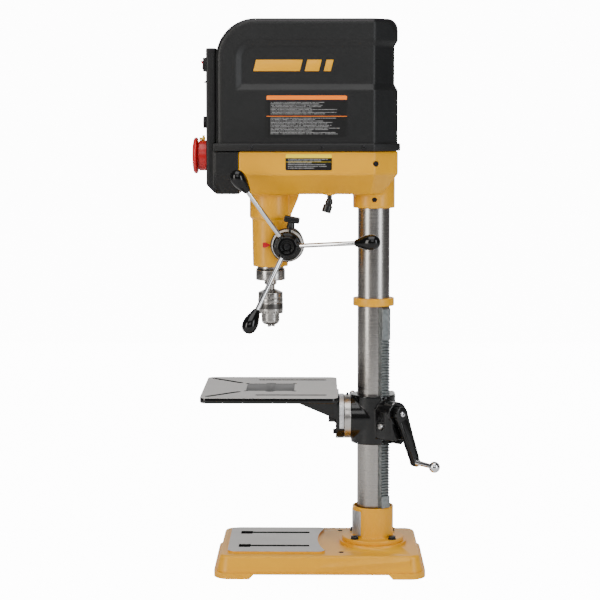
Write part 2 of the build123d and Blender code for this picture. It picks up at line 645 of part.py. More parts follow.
def make_table():
    plate = slab(Pos(0, TABLE_Y) * RectangleRounded(2 * TABLE_HALF_WIDTH, TABLE_DEPTH, TABLE_CORNER_R),
                 TABLE_TOP - TABLE_THICK, TABLE_TOP)
    plate = chamfer(plate.faces().sort_by(Axis.Z)[0].edges(), 2)
    plate -= slab(insert_plan(0), TABLE_TOP - INSERT_DEPTH, TABLE_TOP + 1)
    plate -= [post(INSERT_RELIEF_R, TABLE_TOP - INSERT_DEPTH, TABLE_TOP + 1, sx * INSERT_SIZE / 2,
                   SPINDLE_Y + sy * INSERT_SIZE / 2) for sx in (-1, 1) for sy in (-1, 1)]
    table = plate + rod(ARM_R, (0, TILT_PLANE - 0.3, ARM_Z), (0, TILT_PLANE - TRUNNION_THICK, ARM_Z))
    wall = TILT_PLANE - TRUNNION_THICK
    table += block(-ARM_R, ARM_R, wall - 7, wall + 7, ARM_Z + 4, TABLE_TOP - TABLE_THICK + 1)
    low = TABLE_TOP - TABLE_THICK + 1
    gusset = [(wall, low), (wall - 126, low), (wall, ARM_Z - 1)]
    for side in (-1, 1):
        table += Pos(side * GUSSET_X, 0, 0) * side_profile(gusset, GUSSET_HALF)
    table -= table_slots()
    table -= rod(TILT_BOLT_R + RUN, (0, wall - 40, ARM_Z), (0, TILT_PLANE + 5, ARM_Z))
    table -= rod(TILT_WASHER_R + 1.5, (0, wall - 30, ARM_Z), (0, wall, ARM_Z))
    pin_z = ARM_Z - TILT_PIN_DROP
    table -= rod(TILT_PIN_R + RUN, (0, wall - 20, pin_z), (0, wall + 12, pin_z))
    save("table", table)
    insert = slab(insert_plan(FREE), TABLE_TOP - INSERT_DEPTH + 2 * SEAT, TABLE_TOP - 2 * SEAT)
    save("table_insert", insert)
    seat = Plane(origin=(0, wall - 3, ARM_Z), z_dir=(0, -1, 0))
    bolt = seat * hex_bolt(TILT_BOLT_ACROSS, 13, TILT_BOLT_R, 38)
    bolt += rod(TILT_WASHER_R, (0, wall - SEAT, ARM_Z), (0, wall - 3, ARM_Z))
    pin = Plane(origin=(0, wall, pin_z), z_dir=(0, -1, 0)) * hex_bolt(10, 6, TILT_PIN_R, 11)
    save("tilt_bolts", Compound(children=[bolt, pin]))
    scale = ring(ARM_R + 1.2, ARM_R + RUN, 1, TRUNNION_THICK - 1)
    reach = 3 * ARM_R
    scale &= Pos(0, reach / 2 - 20, 0) * Box(reach, reach, 60)
    frame = Plane(origin=(0, TILT_PLANE, ARM_Z), x_dir=(1, 0, 0), z_dir=(0, -1, 0))
    back = block(-reach, reach, wall - 5, TILT_PLANE + 5, TABLE_TOP - TABLE_THICK - 1, TABLE_TOP + reach)
    cheek = block(-reach, reach, wall - 10, wall + 8, ARM_Z - reach, TABLE_TOP + reach)
    save("tilt_scale", frame * scale - back - cheek)


# ---- head ---------------------------------------------------------------------------------------
def head_plan(half_width, front, back, cut_x, cut_y):
    points = [(-half_width, front), (half_width, front), (half_width, back - cut_y),
              (half_width - cut_x, back), (cut_x - half_width, back), (-half_width, back - cut_y)]
    return make_face(Polyline(*points, close=True))


def head_block(half_width, front, back, cut_x, cut_y, low_half, low_front, low_back):
    upper = slab(head_plan(half_width, front, back, cut_x, cut_y), HEAD_CREASE, HEAD_TOP)
    top = Pos(0, 0, HEAD_CREASE) * head_plan(half_width, front, back, cut_x, cut_y)
    bottom = Pos(0, 0, HEAD_BOTTOM) * head_plan(low_half, low_front, low_back, cut_x * 0.4, cut_y * 0.4)
    return upper + loft([bottom.face(), top.face()])


def housing_set_screw_frames():
    upper = (HEAD_HALF_WIDTH, 0, HEAD_TOP - 26.4)
    lower = (COLUMN_BOSS_R, 0, COLUMN_BOSS_BOTTOM + 19.2)
    return [(upper, 24.0), (lower, 9.0)]


def make_head(ring_screw):
    head = head_block(HEAD_HALF_WIDTH, HEAD_FRONT, HEAD_BACK, COVER_BACK_CUT_X, COVER_BACK_CUT_Y,
                      HEAD_LOW_HALF_WIDTH, HEAD_FRONT + 14, HEAD_BACK - 35)
    pocket = head_plan(HEAD_HALF_WIDTH - HEAD_WALL, HEAD_FRONT + HEAD_WALL, HEAD_BACK - HEAD_WALL,
                       COVER_BACK_CUT_X - 4, COVER_BACK_CUT_Y - 4)
    head -= slab(pocket, HEAD_FLOOR, HEAD_TOP + 1)
    head += post(COLUMN_BOSS_R, COLUMN_BOSS_BOTTOM, COLUMN_TOP - 4)
    head += post(HOUSING_UPPER_R, HOUSING_STEP, HEAD_FLOOR + 18, 0, SPINDLE_Y)
    length = HOUSING_STEP - HOUSING_BOTTOM
    head += Pos(0, SPINDLE_Y, HOUSING_BOTTOM) * Cone(HOUSING_END_R, HOUSING_LOWER_R, length, align=LOW)
    web = [(SPINDLE_Y, HEAD_BOTTOM + 6), (SPINDLE_Y + 64, HEAD_BOTTOM + 6), (SPINDLE_Y + 62, HEAD_BOTTOM - 8),
           (SPINDLE_Y + 43, HOUSING_STEP + 1), (SPINDLE_Y, HOUSING_STEP + 1)]
    head += side_profile(web, 22)
    feed_y = feed_axis_y()
    head += rod(FEED_BOSS_R, (-FEED_BOSS_END + 4, feed_y, FEED_Z), (FEED_BOSS_END, feed_y, FEED_Z))
    head += post(LAMP_BOSS_R, HEAD_BOTTOM - 3, HEAD_BOTTOM + 20, LAMP_X, LAMP_Y)
    head -= post(COLUMN_R + RUN, COLUMN_BOSS_BOTTOM - 1, COLUMN_TOP + 1)
    head -= post(QUILL_R + RUN, HOUSING_BOTTOM - 1, HEAD_FLOOR + 2, 0, SPINDLE_Y)
    head -= post(BEARING_R + 8, HEAD_FLOOR, HEAD_FLOOR + 20, 0, SPINDLE_Y)
    tip = PINION_MODULE * (PINION_TEETH / 2 + 1)
    head -= rod(tip + 0.5, (-PINION_FACE / 2 - 1, feed_y, FEED_Z), (FEED_BOSS_END + 1, feed_y, FEED_Z))
    head -= rod(FEED_TAIL_R + RUN, (-FEED_BOSS_END - 5, feed_y, FEED_Z), (0, feed_y, FEED_Z))
    for (x, y, z), depth in housing_set_screw_frames():
        head -= rod(SET_SCREW_R + RUN, (x - depth, y, z), (x + 5, y, z))
    head -= lamp_stem(RUN)
    head -= pointer_stand(RUN)
    save("head_casting", head)
    screws = [rod(SET_SCREW_R, (x - depth, y, z), (x - 3, y, z))
              for (x, y, z), depth in housing_set_screw_frames()]
    save("set_screws", Compound(children=screws + [ring_screw]))


# ---- feed ----------------------------------------------------------------------------------------
def feed_axis_y():
    return SPINDLE_Y + QUILL_R - PINION_MODULE + PINION_MODULE * PINION_TEETH / 2


def make_feed():
    y = feed_axis_y()
    tip = PINION_MODULE * (PINION_TEETH / 2 + 1)
    near = feed_axis_y() - SPINDLE_Y - tip - 0.5 - FREE
    bush_low = max(PINION_FACE / 2 + 1, math.sqrt(QUILL_R ** 2 - near ** 2))
    bush = rod(tip + 0.5 - RUN, (bush_low, y, FEED_Z), (FEED_BOSS_END, y, FEED_Z))
    bush -= rod(FEED_SHAFT_R + RUN, (0, y, FEED_Z), (FEED_BOSS_END + 5, y, FEED_Z))
    save("feed_bush", bush)
    pinion = spur_gear(PINION_MODULE, PINION_TEETH, PINION_FACE, 0)
    frame = Plane(origin=(0, y, FEED_Z), x_dir=(0, -1, 0), z_dir=(1, 0, 0))
    shaft = frame * pinion
    shaft += rod(FEED_SHAFT_R, (PINION_FACE / 2, y, FEED_Z), (HUB_END - 14, y, FEED_Z))
    shaft += rod(FEED_TAIL_R, (-FEED_BOSS_END - SPRING_CAN_DEPTH + 14, y, FEED_Z), (0, y, FEED_Z))
    save("feed_shaft", shaft)
    dial_low = FEED_BOSS_END + 1
    dial_high = dial_low + DIAL_WIDTH
    dial = rod(DIAL_R, (dial_low, y, FEED_Z), (dial_high, y, FEED_Z))
    dial += rod(HUB_DISC_R - 2, (dial_high, y, FEED_Z), (dial_high + DIAL_NECK, y, FEED_Z))
    dial -= rod(HUB_SLEEVE_R + RUN, (0, y, FEED_Z), (dial_high + 20, y, FEED_Z))
    stem_x = dial_high + DIAL_NECK - 4
    lock = dial_lock_shape(stem_x, y, 0)
    dial -= dial_lock_shape(stem_x, y, RUN)
    save("depth_dial", dial)
    save("dial_lock_knob", lock)
    hub_low = dial_high + DIAL_NECK + FREE
    disc_end = HUB_END - HUB_NOSE_LENGTH
    hub = rod(HUB_DISC_R, (hub_low, y, FEED_Z), (disc_end, y, FEED_Z))
    hub += rod(HUB_NOSE_R, (disc_end, y, FEED_Z), (HUB_END, y, FEED_Z))
    hub += rod(HUB_SLEEVE_R, (dial_low, y, FEED_Z), (hub_low + 1, y, FEED_Z))
    hub -= rod(FEED_SHAFT_R + RUN, (0, y, FEED_Z), (HUB_END - 13, y, FEED_Z))
    hub -= [spoke(index, 0, 24, ROD_R + RUN) for index in range(ROD_COUNT)]
    save("feed_hub", hub)
    length = spoke_length()
    rods = [spoke(index, 0.5, length - ROD_SOCKET, ROD_R) for index in range(ROD_COUNT)]
    save("feed_rods", Compound(children=rods))
    grips = [spoke_grip(index) for index in range(ROD_COUNT)]
    save("feed_knobs", Compound(children=grips))


def dial_lock_shape(x, y, grow):
    lean = math.radians(DIAL_LOCK_LEAN)
    frame = Plane(origin=(x, y, FEED_Z), x_dir=(1, 0, 0), z_dir=(0, math.sin(lean), math.cos(lean)))
    stem = Pos(0, 0, HUB_SLEEVE_R + 2) * Cylinder(DIAL_LOCK_R + grow, HUB_DISC_R - 1, align=LOW)
    if grow:
        return frame * stem
    collar = Pos(0, 0, HUB_DISC_R - 1.5) * Cylinder(3.6, 9, align=LOW)
    neck = Pos(0, 0, DIAL_R + FREE) * Cylinder(9, 14, align=LOW)
    head = Pos(0, 0, DIAL_R + 20) * Box(18, 34, 14)
    return frame * (stem + collar + neck + head)


def spoke_points(index):
    a = math.radians(ROD_FIRST_ANGLE + 360 / ROD_COUNT * index)
    y = feed_axis_y()
    root = Vector(ROD_ROOT_X, y + ROD_ROOT_RADIUS * math.cos(a), FEED_Z + ROD_ROOT_RADIUS * math.sin(a))
    tip = Vector(ROD_TIP_X, y + ROD_TIP_RADIUS * math.cos(a), FEED_Z + ROD_TIP_RADIUS * math.sin(a))
    return root, tip


def spoke_length():
    root, tip = spoke_points(0)
    return (tip - root).length


def spoke(index, start, end, radius):
    root, tip = spoke_points(index)
    way = (tip - root).normalized()
    return rod(radius, tuple(root + way * start), tuple(root + way * end))


def spoke_grip(index):
    root, tip = spoke_points(index)
    way = (tip - root).normalized()
    with BuildPart() as grip:
        with BuildSketch(Plane.XZ):
            with BuildLine():
                Line((0, 0), (0, -GRIP_LENGTH))
                Line((0, -GRIP_LENGTH), (7.5, -GRIP_LENGTH))
                Spline((7.5, -GRIP_LENGTH), (GRIP_R - 2.6, -GRIP_LENGTH * 0.55), (GRIP_R, -GRIP_R), (0, 0),
                       tangents=[(0.15, 1), (-1, 0)])
            make_face()
        revolve(axis=Axis.Z)
    hole = Pos(0, 0, -GRIP_LENGTH - 1) * Cylinder(ROD_R + RUN, GRIP_LENGTH - ROD_SOCKET + 1.5, align=LOW)
    return Plane(origin=tuple(tip), z_dir=way) * (grip.part - hole)


def make_spring():
    y = feed_axis_y()
    start = -FEED_BOSS_END + 4
    end = start - SPRING_CAN_DEPTH
    can = rod(SPRING_CAN_R, (start - 0.1, y, FEED_Z), (end, y, FEED_Z))
    can -= rod(SPRING_CAN_R - 3, (start - 3, y, FEED_Z), (end + 3, y, FEED_Z))
    can -= rod(FEED_TAIL_R + 2, (start + 1, y, FEED_Z), (end + 3, y, FEED_Z))
    save("spring_can", can)
    turns = [rod(r + 1.6, (start - 5, y, FEED_Z), (start - 15, y, FEED_Z))
             - rod(r, (start + 5, y, FEED_Z), (start - 25, y, FEED_Z)) for r in SPRING_TURN_RADII]
    save("return_spring", Compound(children=turns))


# ---- quill, spindle and chuck --------------------------------------------------------------------------
def make_quill():
    quill = post(QUILL_R, QUILL_BOTTOM, QUILL_TOP, 0, SPINDLE_Y)
    quill -= post(QUILL_CORE_R, QUILL_BOTTOM - 1, QUILL_TOP + 1, 0, SPINDLE_Y)
    quill -= post(BEARING_R + RUN, QUILL_BOTTOM - 1, QUILL_BOTTOM + BEARING_WIDTH, 0, SPINDLE_Y)
    quill -= post(BEARING_R + RUN, QUILL_TOP - BEARING_WIDTH, QUILL_TOP + 1, 0, SPINDLE_Y)
    pitch = math.pi * PINION_MODULE
    first = FEED_Z - 2 * pitch
    count = int((QUILL_TRAVEL + 4 * pitch) / pitch) + 1
    face = SPINDLE_Y + QUILL_R
    quill -= rack_grooves(PINION_MODULE, count, first, face, -1, PINION_FACE + 2)
    save("quill", quill)
    bearings = [ring(BEARING_R, SPINDLE_R + RUN, low, low + BEARING_WIDTH, 0, SPINDLE_Y)
                for low in (QUILL_BOTTOM, QUILL_TOP - BEARING_WIDTH)]
    save("quill_bearings", Compound(children=bearings))
    nut = ring(STOP_RING_R, NOSE_R + FREE, STOP_RING_BOTTOM, QUILL_BOTTOM - RUN, 0, SPINDLE_Y)
    save("quill_cap", nut)


def make_spindle():
    spindle = post(SPINDLE_R, QUILL_BOTTOM - 2, SPINDLE_TOP, 0, SPINDLE_Y)
    spindle += post(NOSE_R, NOSE_BOTTOM, QUILL_BOTTOM - 0.4, 0, SPINDLE_Y)
    spindle += post(ARBOR_R, CHUCK_SLEEVE_TOP, NOSE_BOTTOM + 1, 0, SPINDLE_Y)
    save("spindle", spindle)


def jaw(index, radius, start, end):
    a = math.radians(JAW_ANGLE)
    turn = math.radians(360 / JAW_COUNT * index + 90)
    way = Vector(math.sin(a) * math.cos(turn), math.sin(a) * math.sin(turn), math.cos(a))
    tip = Vector(0, SPINDLE_Y, JAW_TIP) + Vector(math.cos(turn), math.sin(turn), 0) * (JAW_R + 1.0)
    return rod(radius, tuple(tip + way * start), tuple(tip + way * end))


def make_chuck():
    body = post(CHUCK_NOSE_R + 0.3, CHUCK_SLEEVE_TOP, CHUCK_TOP - 5, 0, SPINDLE_Y)
    body += post(CHUCK_R - 0.5, CHUCK_SLEEVE_TOP + 0.4, CHUCK_TOP - 6, 0, SPINDLE_Y)
    body += Pos(0, SPINDLE_Y, CHUCK_TOP - 6) * Cone(CHUCK_R - 0.5, 14, 6, align=LOW)
    body += post(CHUCK_NOSE_R, CHUCK_NOSE_END + 6, CHUCK_SLEEVE_TOP + 1, 0, SPINDLE_Y)
    body += Pos(0, SPINDLE_Y, CHUCK_NOSE_END) * Cone(CHUCK_NOSE_R - 6, CHUCK_NOSE_R, 6, align=LOW)
    body -= post(ARBOR_R + RUN, CHUCK_SLEEVE_TOP - 1, CHUCK_TOP + 5, 0, SPINDLE_Y)
    body -= post(CHUCK_BORE_R, CHUCK_NOSE_END - 1, CHUCK_SLEEVE_TOP - 4, 0, SPINDLE_Y)
    for index in range(JAW_COUNT):
        body -= jaw(index, JAW_R + 0.1, -6, JAW_LENGTH + JAW_TRAVEL + 1)
    hole_z = CHUCK_SLEEVE_BOTTOM - 5
    for angle in CHUCK_KEY_ANGLES:
        a = math.radians(angle)
        far = (CHUCK_R * math.cos(a), SPINDLE_Y + CHUCK_R * math.sin(a), hole_z)
        body -= rod(CHUCK_KEY_R, (0, SPINDLE_Y, hole_z), far)
    save("chuck_body", body)
    sleeve = ring(CHUCK_R, CHUCK_NOSE_R + RUN, CHUCK_SLEEVE_BOTTOM, CHUCK_SLEEVE_TOP, 0, SPINDLE_Y)
    sleeve -= post(CHUCK_R - 2.8, CHUCK_SLEEVE_BOTTOM + 9, CHUCK_SLEEVE_TOP + 1, 0, SPINDLE_Y)
    z = CHUCK_SLEEVE_BOTTOM
    inner = CHUCK_NOSE_R - 2
    outer = CHUCK_R + 1.5
    for index in range(CHUCK_TEETH):
        a = math.radians(360 / CHUCK_TEETH * index)
        sleeve -= rod(1.8, (inner * math.cos(a), SPINDLE_Y + inner * math.sin(a), z),
                      (outer * math.cos(a), SPINDLE_Y + outer * math.sin(a), z))
    save("chuck_sleeve", sleeve)
    for index in range(JAW_COUNT):
        save(f"chuck_jaw_{index + 1}", jaw(index, JAW_R, 0, JAW_LENGTH))


# ---- drive ----------------------------------------------------------------------------------------
def pulley(radius, x, y, bore):
    wheel = post(radius, PULLEY_BOTTOM, PULLEY_TOP, x, y)
    lower = post(radius + 3, PULLEY_BOTTOM - SEAT, PULLEY_BOTTOM + PULLEY_LIP, x, y)
    upper = post(radius + 3, PULLEY_TOP - PULLEY_LIP, PULLEY_TOP, x, y)
    return wheel + lower + upper - post(bore, PULLEY_BOTTOM - 5, PULLEY_TOP + 5, x, y)


def make_drive():
    wheel = pulley(SPINDLE_PULLEY_R, 0, SPINDLE_Y, SPINDLE_R + RUN)
    wheel += ring(SLEEVE_R, SPINDLE_R + RUN, HEAD_FLOOR + 2, PULLEY_BOTTOM + 1, 0, SPINDLE_Y)
    save("spindle_pulley", wheel)
    low = HEAD_FLOOR + 3
    bearing = ring(BEARING_R + 8 - RUN, SLEEVE_R + RUN, low, low + BEARING_WIDTH, 0, SPINDLE_Y)
    save("pulley_bearing", bearing)
    drive = pulley(MOTOR_PULLEY_R, 0, MOTOR_Y, 1) + post(2, PULLEY_BOTTOM, PULLEY_TOP, 0, MOTOR_Y)
    drive += post(MOTOR_SHAFT_R, PULLEY_TOP - 1, MOTOR_BOTTOM + 20, 0, MOTOR_Y)
    save("motor_pulley", drive)
    motor = post(MOTOR_R, MOTOR_BOTTOM, MOTOR_TOP, 0, MOTOR_Y)
    motor = chamfer(motor.faces().sort_by(Axis.Z)[-1].edges(), 8)
    motor += block(MOTOR_R - 8, MOTOR_R + 26, MOTOR_Y - 30, MOTOR_Y + 30, MOTOR_BOTTOM + 40, MOTOR_TOP - 40)
    motor -= post(MOTOR_SHAFT_R + RUN, MOTOR_BOTTOM - 1, MOTOR_BOTTOM + 22, 0, MOTOR_Y)
    save("motor", motor)
    plate = block(-PLATE_HALF_X, PLATE_HALF_X, MOTOR_Y - PLATE_HALF_Y, MOTOR_Y + PLATE_HALF_Y,
                  MOTOR_BOTTOM - MOUNT_PLATE_THICK, MOTOR_BOTTOM)
    plate -= post(MOTOR_SHAFT_R + 3, MOTOR_BOTTOM - 20, MOTOR_BOTTOM + 5, 0, MOTOR_Y)
    x, y = PLATE_HALF_X - MOTOR_POST_INSET, PLATE_HALF_Y - MOTOR_POST_INSET
    plate += [post(MOTOR_POST_R, HEAD_FLOOR, MOTOR_BOTTOM - MOUNT_PLATE_THICK, sx * x, MOTOR_Y + sy * y)
              for sx in (-1, 1) for sy in (-1, 1)]
    save("motor_plate", plate)
    save("drive_belt", belt_loop(FREE + BELT_THICK) - belt_loop(FREE))


def belt_loop(grow):
    big = SPINDLE_PULLEY_R + grow
    small = MOTOR_PULLEY_R + grow
    middle = (PULLEY_BOTTOM + PULLEY_TOP) / 2
    low = middle - BELT_WIDTH / 2
    high = middle + BELT_WIDTH / 2
    span = MOTOR_Y - SPINDLE_Y
    lean = math.asin((big - small) / span)
    side = [(big * math.cos(lean), SPINDLE_Y + big * math.sin(lean)),
            (small * math.cos(lean), MOTOR_Y + small * math.sin(lean))]
    flank = side + [(-x, y) for x, y in reversed(side)]
    strip = slab(make_face(Polyline(*flank, close=True)), low, high)
    return strip + post(big, low, high, 0, SPINDLE_Y) + post(small, low, high, 0, MOTOR_Y)


# ---- belt cover --------------------------------------------------------------------------------------
def cover_side(inset):
    front = COVER_FRONT + inset
    back = COVER_BACK - inset
    top = COVER_TOP - inset
    low = HEAD_TOP - (inset * 2)
    front_r = COVER_FRONT_R - inset
    back_r = COVER_BACK_R - inset
    lines = [Line((front, low), (front, top - front_r)),
             RadiusArc((front, top - front_r), (front + front_r, top), front_r),
             Line((front + front_r, top), (back - back_r, top)),
             RadiusArc((back - back_r, top), (back, top - back_r), back_r),
             Line((back, top - back_r), (back, low)),
             Line((back, low), (front, low))]
    return extrude(Plane.YZ * make_face(lines), COVER_HALF_WIDTH + 20, both=True)


def cover_plan(inset):
    return head_plan(COVER_HALF_WIDTH - inset, COVER_FRONT + inset, COVER_BACK - inset,
                     COVER_BACK_CUT_X - inset * 0.4, COVER_BACK_CUT_Y - inset * 0.4)


def cover_solid(inset):
    deep = inset + BAND_DEPTH
    levels = [(HEAD_TOP - 20, inset), (BAND_LOW, inset), (BAND_LOW + BAND_SLOPE, deep),
              (BAND_HIGH - BAND_SLOPE, deep), (BAND_HIGH, inset), (COVER_TOP + 20, inset)]
    stack = None
    for (low, low_inset), (high, high_inset) in zip(levels, levels[1:]):
        bottom = (Pos(0, 0, low) * cover_plan(low_inset)).face()
        top = (Pos(0, 0, high) * cover_plan(high_inset)).face()
        layer = loft([bottom, top])
        stack = layer if stack is None else stack + layer
    half = COVER_HALF_WIDTH - inset
    front = COVER_FRONT + inset
    nose = [(-half, front), (half, front), (half, BAND_FRONT), (half - BAND_DEPTH, BAND_FRONT + 12),
            (BAND_DEPTH - half, BAND_FRONT + 12), (-half, BAND_FRONT)]
    stack += slab(make_face(Polyline(*nose, close=True)), HEAD_TOP - 20, COVER_TOP + 20)
    return stack & cover_side(inset)


def cover_screw_places():
    return [(side, COVER_FRONT + step) for side in (-1, 1) for step in COVER_SCREW_STEPS]


def roof_screw_places():
    return [(x, y) for y in (ROOF_SCREW_FRONT, ROOF_SCREW_BACK) for x in (-ROOF_SCREW_X, ROOF_SCREW_X)]


def make_cover():
    flange_plan = head_plan(COVER_HALF_WIDTH + COVER_FLANGE, COVER_FRONT - COVER_FLANGE,
                            COVER_BACK + COVER_FLANGE, COVER_BACK_CUT_X, COVER_BACK_CUT_Y)
    flange = slab(flange_plan, HEAD_TOP + SEAT, COVER_FLANGE_TOP)
    wide = COVER_HALF_WIDTH + COVER_FLANGE
    above = block(-wide, wide, COVER_FRONT - 1, COVER_BACK + 1, HEAD_TOP + SEAT, COVER_TOP + 1)
    shell = cover_solid(0) & above
    cover = flange + shell - cover_solid(COVER_WALL)
    z = (HEAD_TOP + COVER_FLANGE_TOP) / 2
    outer = COVER_HALF_WIDTH + COVER_FLANGE
    screws = []
    for side, y in cover_screw_places():
        screws.append(rod(COVER_SCREW_HEAD_R, (side * (outer + 1.2), y, z), (side * (outer - 0.5), y, z))
                      + rod(COVER_SCREW_R, (side * outer, y, z), (side * (outer - 8), y, z)))
        cover -= rod(COVER_SCREW_R + RUN, (side * (outer + 3), y, z), (side * (outer - 14), y, z))
        cover -= rod(COVER_SCREW_HEAD_R + RUN, (side * (outer + 3), y, z), (side * (outer - 0.6), y, z))
    top_screws = [post(2 * ROOF_SCREW_R, COVER_TOP, COVER_TOP + 2.2, x, y)
                  + post(ROOF_SCREW_R, COVER_TOP - 5, COVER_TOP, x, y) for x, y in roof_screw_places()]
    cover -= [post(ROOF_SCREW_R + RUN, COVER_TOP - 8, COVER_TOP + 3, x, y) for x, y in roof_screw_places()]
    save("belt_cover", cover)
    save("cover_screws", Compound(children=screws + top_screws))


# ---- front panel and switches ---------------------------------------------------------------------
def make_panel():
    lower_front = PANEL_FRONT + PANEL_CHAMFER
    profile = [(PANEL_FRONT, PANEL_TOP), (COVER_FRONT - 0.3, PANEL_TOP), (COVER_FRONT - 0.3, PANEL_BOTTOM),
               (lower_front, PANEL_BOTTOM), (PANEL_FRONT, PANEL_BOTTOM + PANEL_CHAMFER)]
    panel = side_profile(profile, PANEL_HALF_WIDTH)
    panel = fillet(panel.edges().filter_by(Axis.Z), 5)
    nose = head_block(HEAD_HALF_WIDTH - 1, NOSE_FRONT, HEAD_FRONT - 0.3, 1, 1,
                      HEAD_LOW_HALF_WIDTH, NOSE_FRONT, HEAD_FRONT - 0.3)
    panel += nose
    notch = head_plan(COVER_HALF_WIDTH + COVER_FLANGE + FREE, COVER_FRONT - COVER_FLANGE - FREE,
                      COVER_BACK, COVER_BACK_CUT_X, COVER_BACK_CUT_Y)
    panel -= slab(notch, HEAD_TOP - 0.2, COVER_FLANGE_TOP + 0.3)
    high = BEZEL_HALF_HEIGHT + FREE
    wide = BEZEL_HALF_WIDTH + FREE
    back = PANEL_FRONT + BEZEL_DEPTH + SEAT
    panel -= block(-wide, wide, PANEL_FRONT - 1, back, ROCKER_Z - high, ROCKER_Z + high)
    panel -= rod(SPEED_STEM_R + RUN, (0, PANEL_FRONT - 1, SPEED_Z), (0, PANEL_FRONT + 15, SPEED_Z))
    save("front_panel", panel)
    make_rocker()
    hood = side_profile([(PANEL_FRONT - SEAT, HOOD_Z), (PANEL_FRONT - 7, HOOD_Z - 1.5),
                         (PANEL_FRONT - 7, HOOD_Z + 0.5), (PANEL_FRONT - SEAT, HOOD_Z + 5)], HOOD_HALF_WIDTH)
    hood += block(-HOOD_HALF_WIDTH, HOOD_HALF_WIDTH, PANEL_FRONT - 2, PANEL_FRONT - SEAT, HOOD_Z - 34, HOOD_Z)
    save("speed_readout", hood)
    knob = rod(SPEED_KNOB_R, (0, PANEL_FRONT - 0.5, SPEED_Z), (0, PANEL_FRONT - SPEED_KNOB_DEPTH, SPEED_Z),
               SPEED_KNOB_R - 1.75)
    knob += rod(SPEED_STEM_R, (0, PANEL_FRONT - 1, SPEED_Z), (0, PANEL_FRONT + 14, SPEED_Z))
    save("speed_knob", knob)


def make_rocker():
    wide, high = BEZEL_HALF_WIDTH, BEZEL_HALF_HEIGHT
    hole_x, hole_z = ROCKER_HALF_WIDTH + 1, high - 1.8
    back = PANEL_FRONT + BEZEL_DEPTH - 3
    bezel = block(-wide, wide, PANEL_FRONT - 10, PANEL_FRONT + BEZEL_DEPTH, ROCKER_Z - high, ROCKER_Z + high)
    bezel -= block(-hole_x, hole_x, PANEL_FRONT - 12, back, ROCKER_Z - hole_z, ROCKER_Z + hole_z)
    pin_end = wide - 1.5
    pins = rod(ROCKER_PIN_R, (-pin_end, PANEL_FRONT + 2, ROCKER_Z), (pin_end, PANEL_FRONT + 2, ROCKER_Z))
    bezel -= rod(ROCKER_PIN_R + RUN, (-pin_end - SEAT, PANEL_FRONT + 2, ROCKER_Z),
                 (pin_end + SEAT, PANEL_FRONT + 2, ROCKER_Z))
    save("rocker_bezel", bezel)
    tip = hole_z - 1.6
    inside = PANEL_FRONT + 8
    face = [(PANEL_FRONT - 12, ROCKER_Z - tip + 2), (PANEL_FRONT - 11, ROCKER_Z),
            (PANEL_FRONT - 15.4, ROCKER_Z + tip - 2.6), (inside, ROCKER_Z + 6), (inside, ROCKER_Z - 6)]
    save("power_rocker", side_profile(face, ROCKER_HALF_WIDTH) + pins)


def make_stop():
    face = PANEL_FRONT - SEAT
    out = face - STOP_BODY_DEPTH
    top = STOP_Z + STOP_BODY_R
    body = rod(STOP_BODY_R, (0, face, STOP_Z), (0, out, STOP_Z))
    body -= rod(STOP_STEM_R + RUN, (0, face - 3, STOP_Z), (0, out - 5, STOP_Z))
    tongue = KEY_HALF_WIDTH / 2
    body -= block(-tongue - FREE, tongue + FREE, out + 5.6, out + 12.4, top - 7.4, top + 5)
    save("stop_switch_body", body)
    key = block(-KEY_HALF_WIDTH, KEY_HALF_WIDTH, out + 0.5, out + 13, top + 0.2, top + 6)
    key += block(-KEY_HALF_WIDTH, KEY_HALF_WIDTH, out + 7, out + 12, top + 5, top + 11)
    key += block(-tongue, tongue, out + 6, out + 12, top - 7, top + 1)
    save("stop_key", key)
    disc_face = out - STOP_STROKE - FREE
    rim_end = disc_face - 4
    disc = rod(STOP_DISC_R - 1.5, (0, disc_face, STOP_Z), (0, rim_end, STOP_Z), STOP_DISC_R)
    nose = disc_face - STOP_DISC_DEPTH
    disc += rod(STOP_DISC_R, (0, rim_end, STOP_Z), (0, nose, STOP_Z), STOP_DISC_R * 0.7)
    disc += rod(STOP_STEM_R, (0, disc_face - 1, STOP_Z), (0, face - 8, STOP_Z))
    save("stop_button", disc)


def sign_plate(x, span, heights):
    plate = block(x + SEAT, x + SEAT + SIGN_THICK, *span, *heights)
    return fillet(plate.edges().filter_by(Axis.X), SIGN_CORNER_R)


def make_signs():
    side = sign_plate(COVER_HALF_WIDTH, SIDE_SIGN_SPAN, SIDE_SIGN_HEIGHTS)
    head = sign_plate(HEAD_HALF_WIDTH, HEAD_SIGN_SPAN, HEAD_SIGN_HEIGHTS)
    save("labels", Compound(children=[side, head]))
    tip = pointer_tip()
    pointer = Polyline((tip, FEED_Z + 1), (tip - 10, FEED_Z + 6), (tip - 16, FEED_Z + 5),
                       (tip - 16, FEED_Z - 5), (tip - 10, FEED_Z - 6), (tip, FEED_Z - 1), close=True)
    plate = Pos(FEED_BOSS_END + 3.5, 0, 0) * extrude(Plane.YZ * make_face(pointer), 2)
    save("depth_pointer", plate + pointer_stand())


def pointer_tip():
    return feed_axis_y() - DIAL_R - FREE


def pointer_stand(grow=0.0):
    y = pointer_tip() - 12
    return rod(POINTER_STAND_R + grow, (HOUSING_END_R - 8, y, FEED_Z), (FEED_BOSS_END + 4.5, y, FEED_Z))


def lamp_stem(grow=0.0):
    half = LAMP_STEM_HALF
    return post(LAMP_STEM_R + grow, HEAD_BOTTOM - half, HEAD_BOTTOM + half, LAMP_X, LAMP_Y)


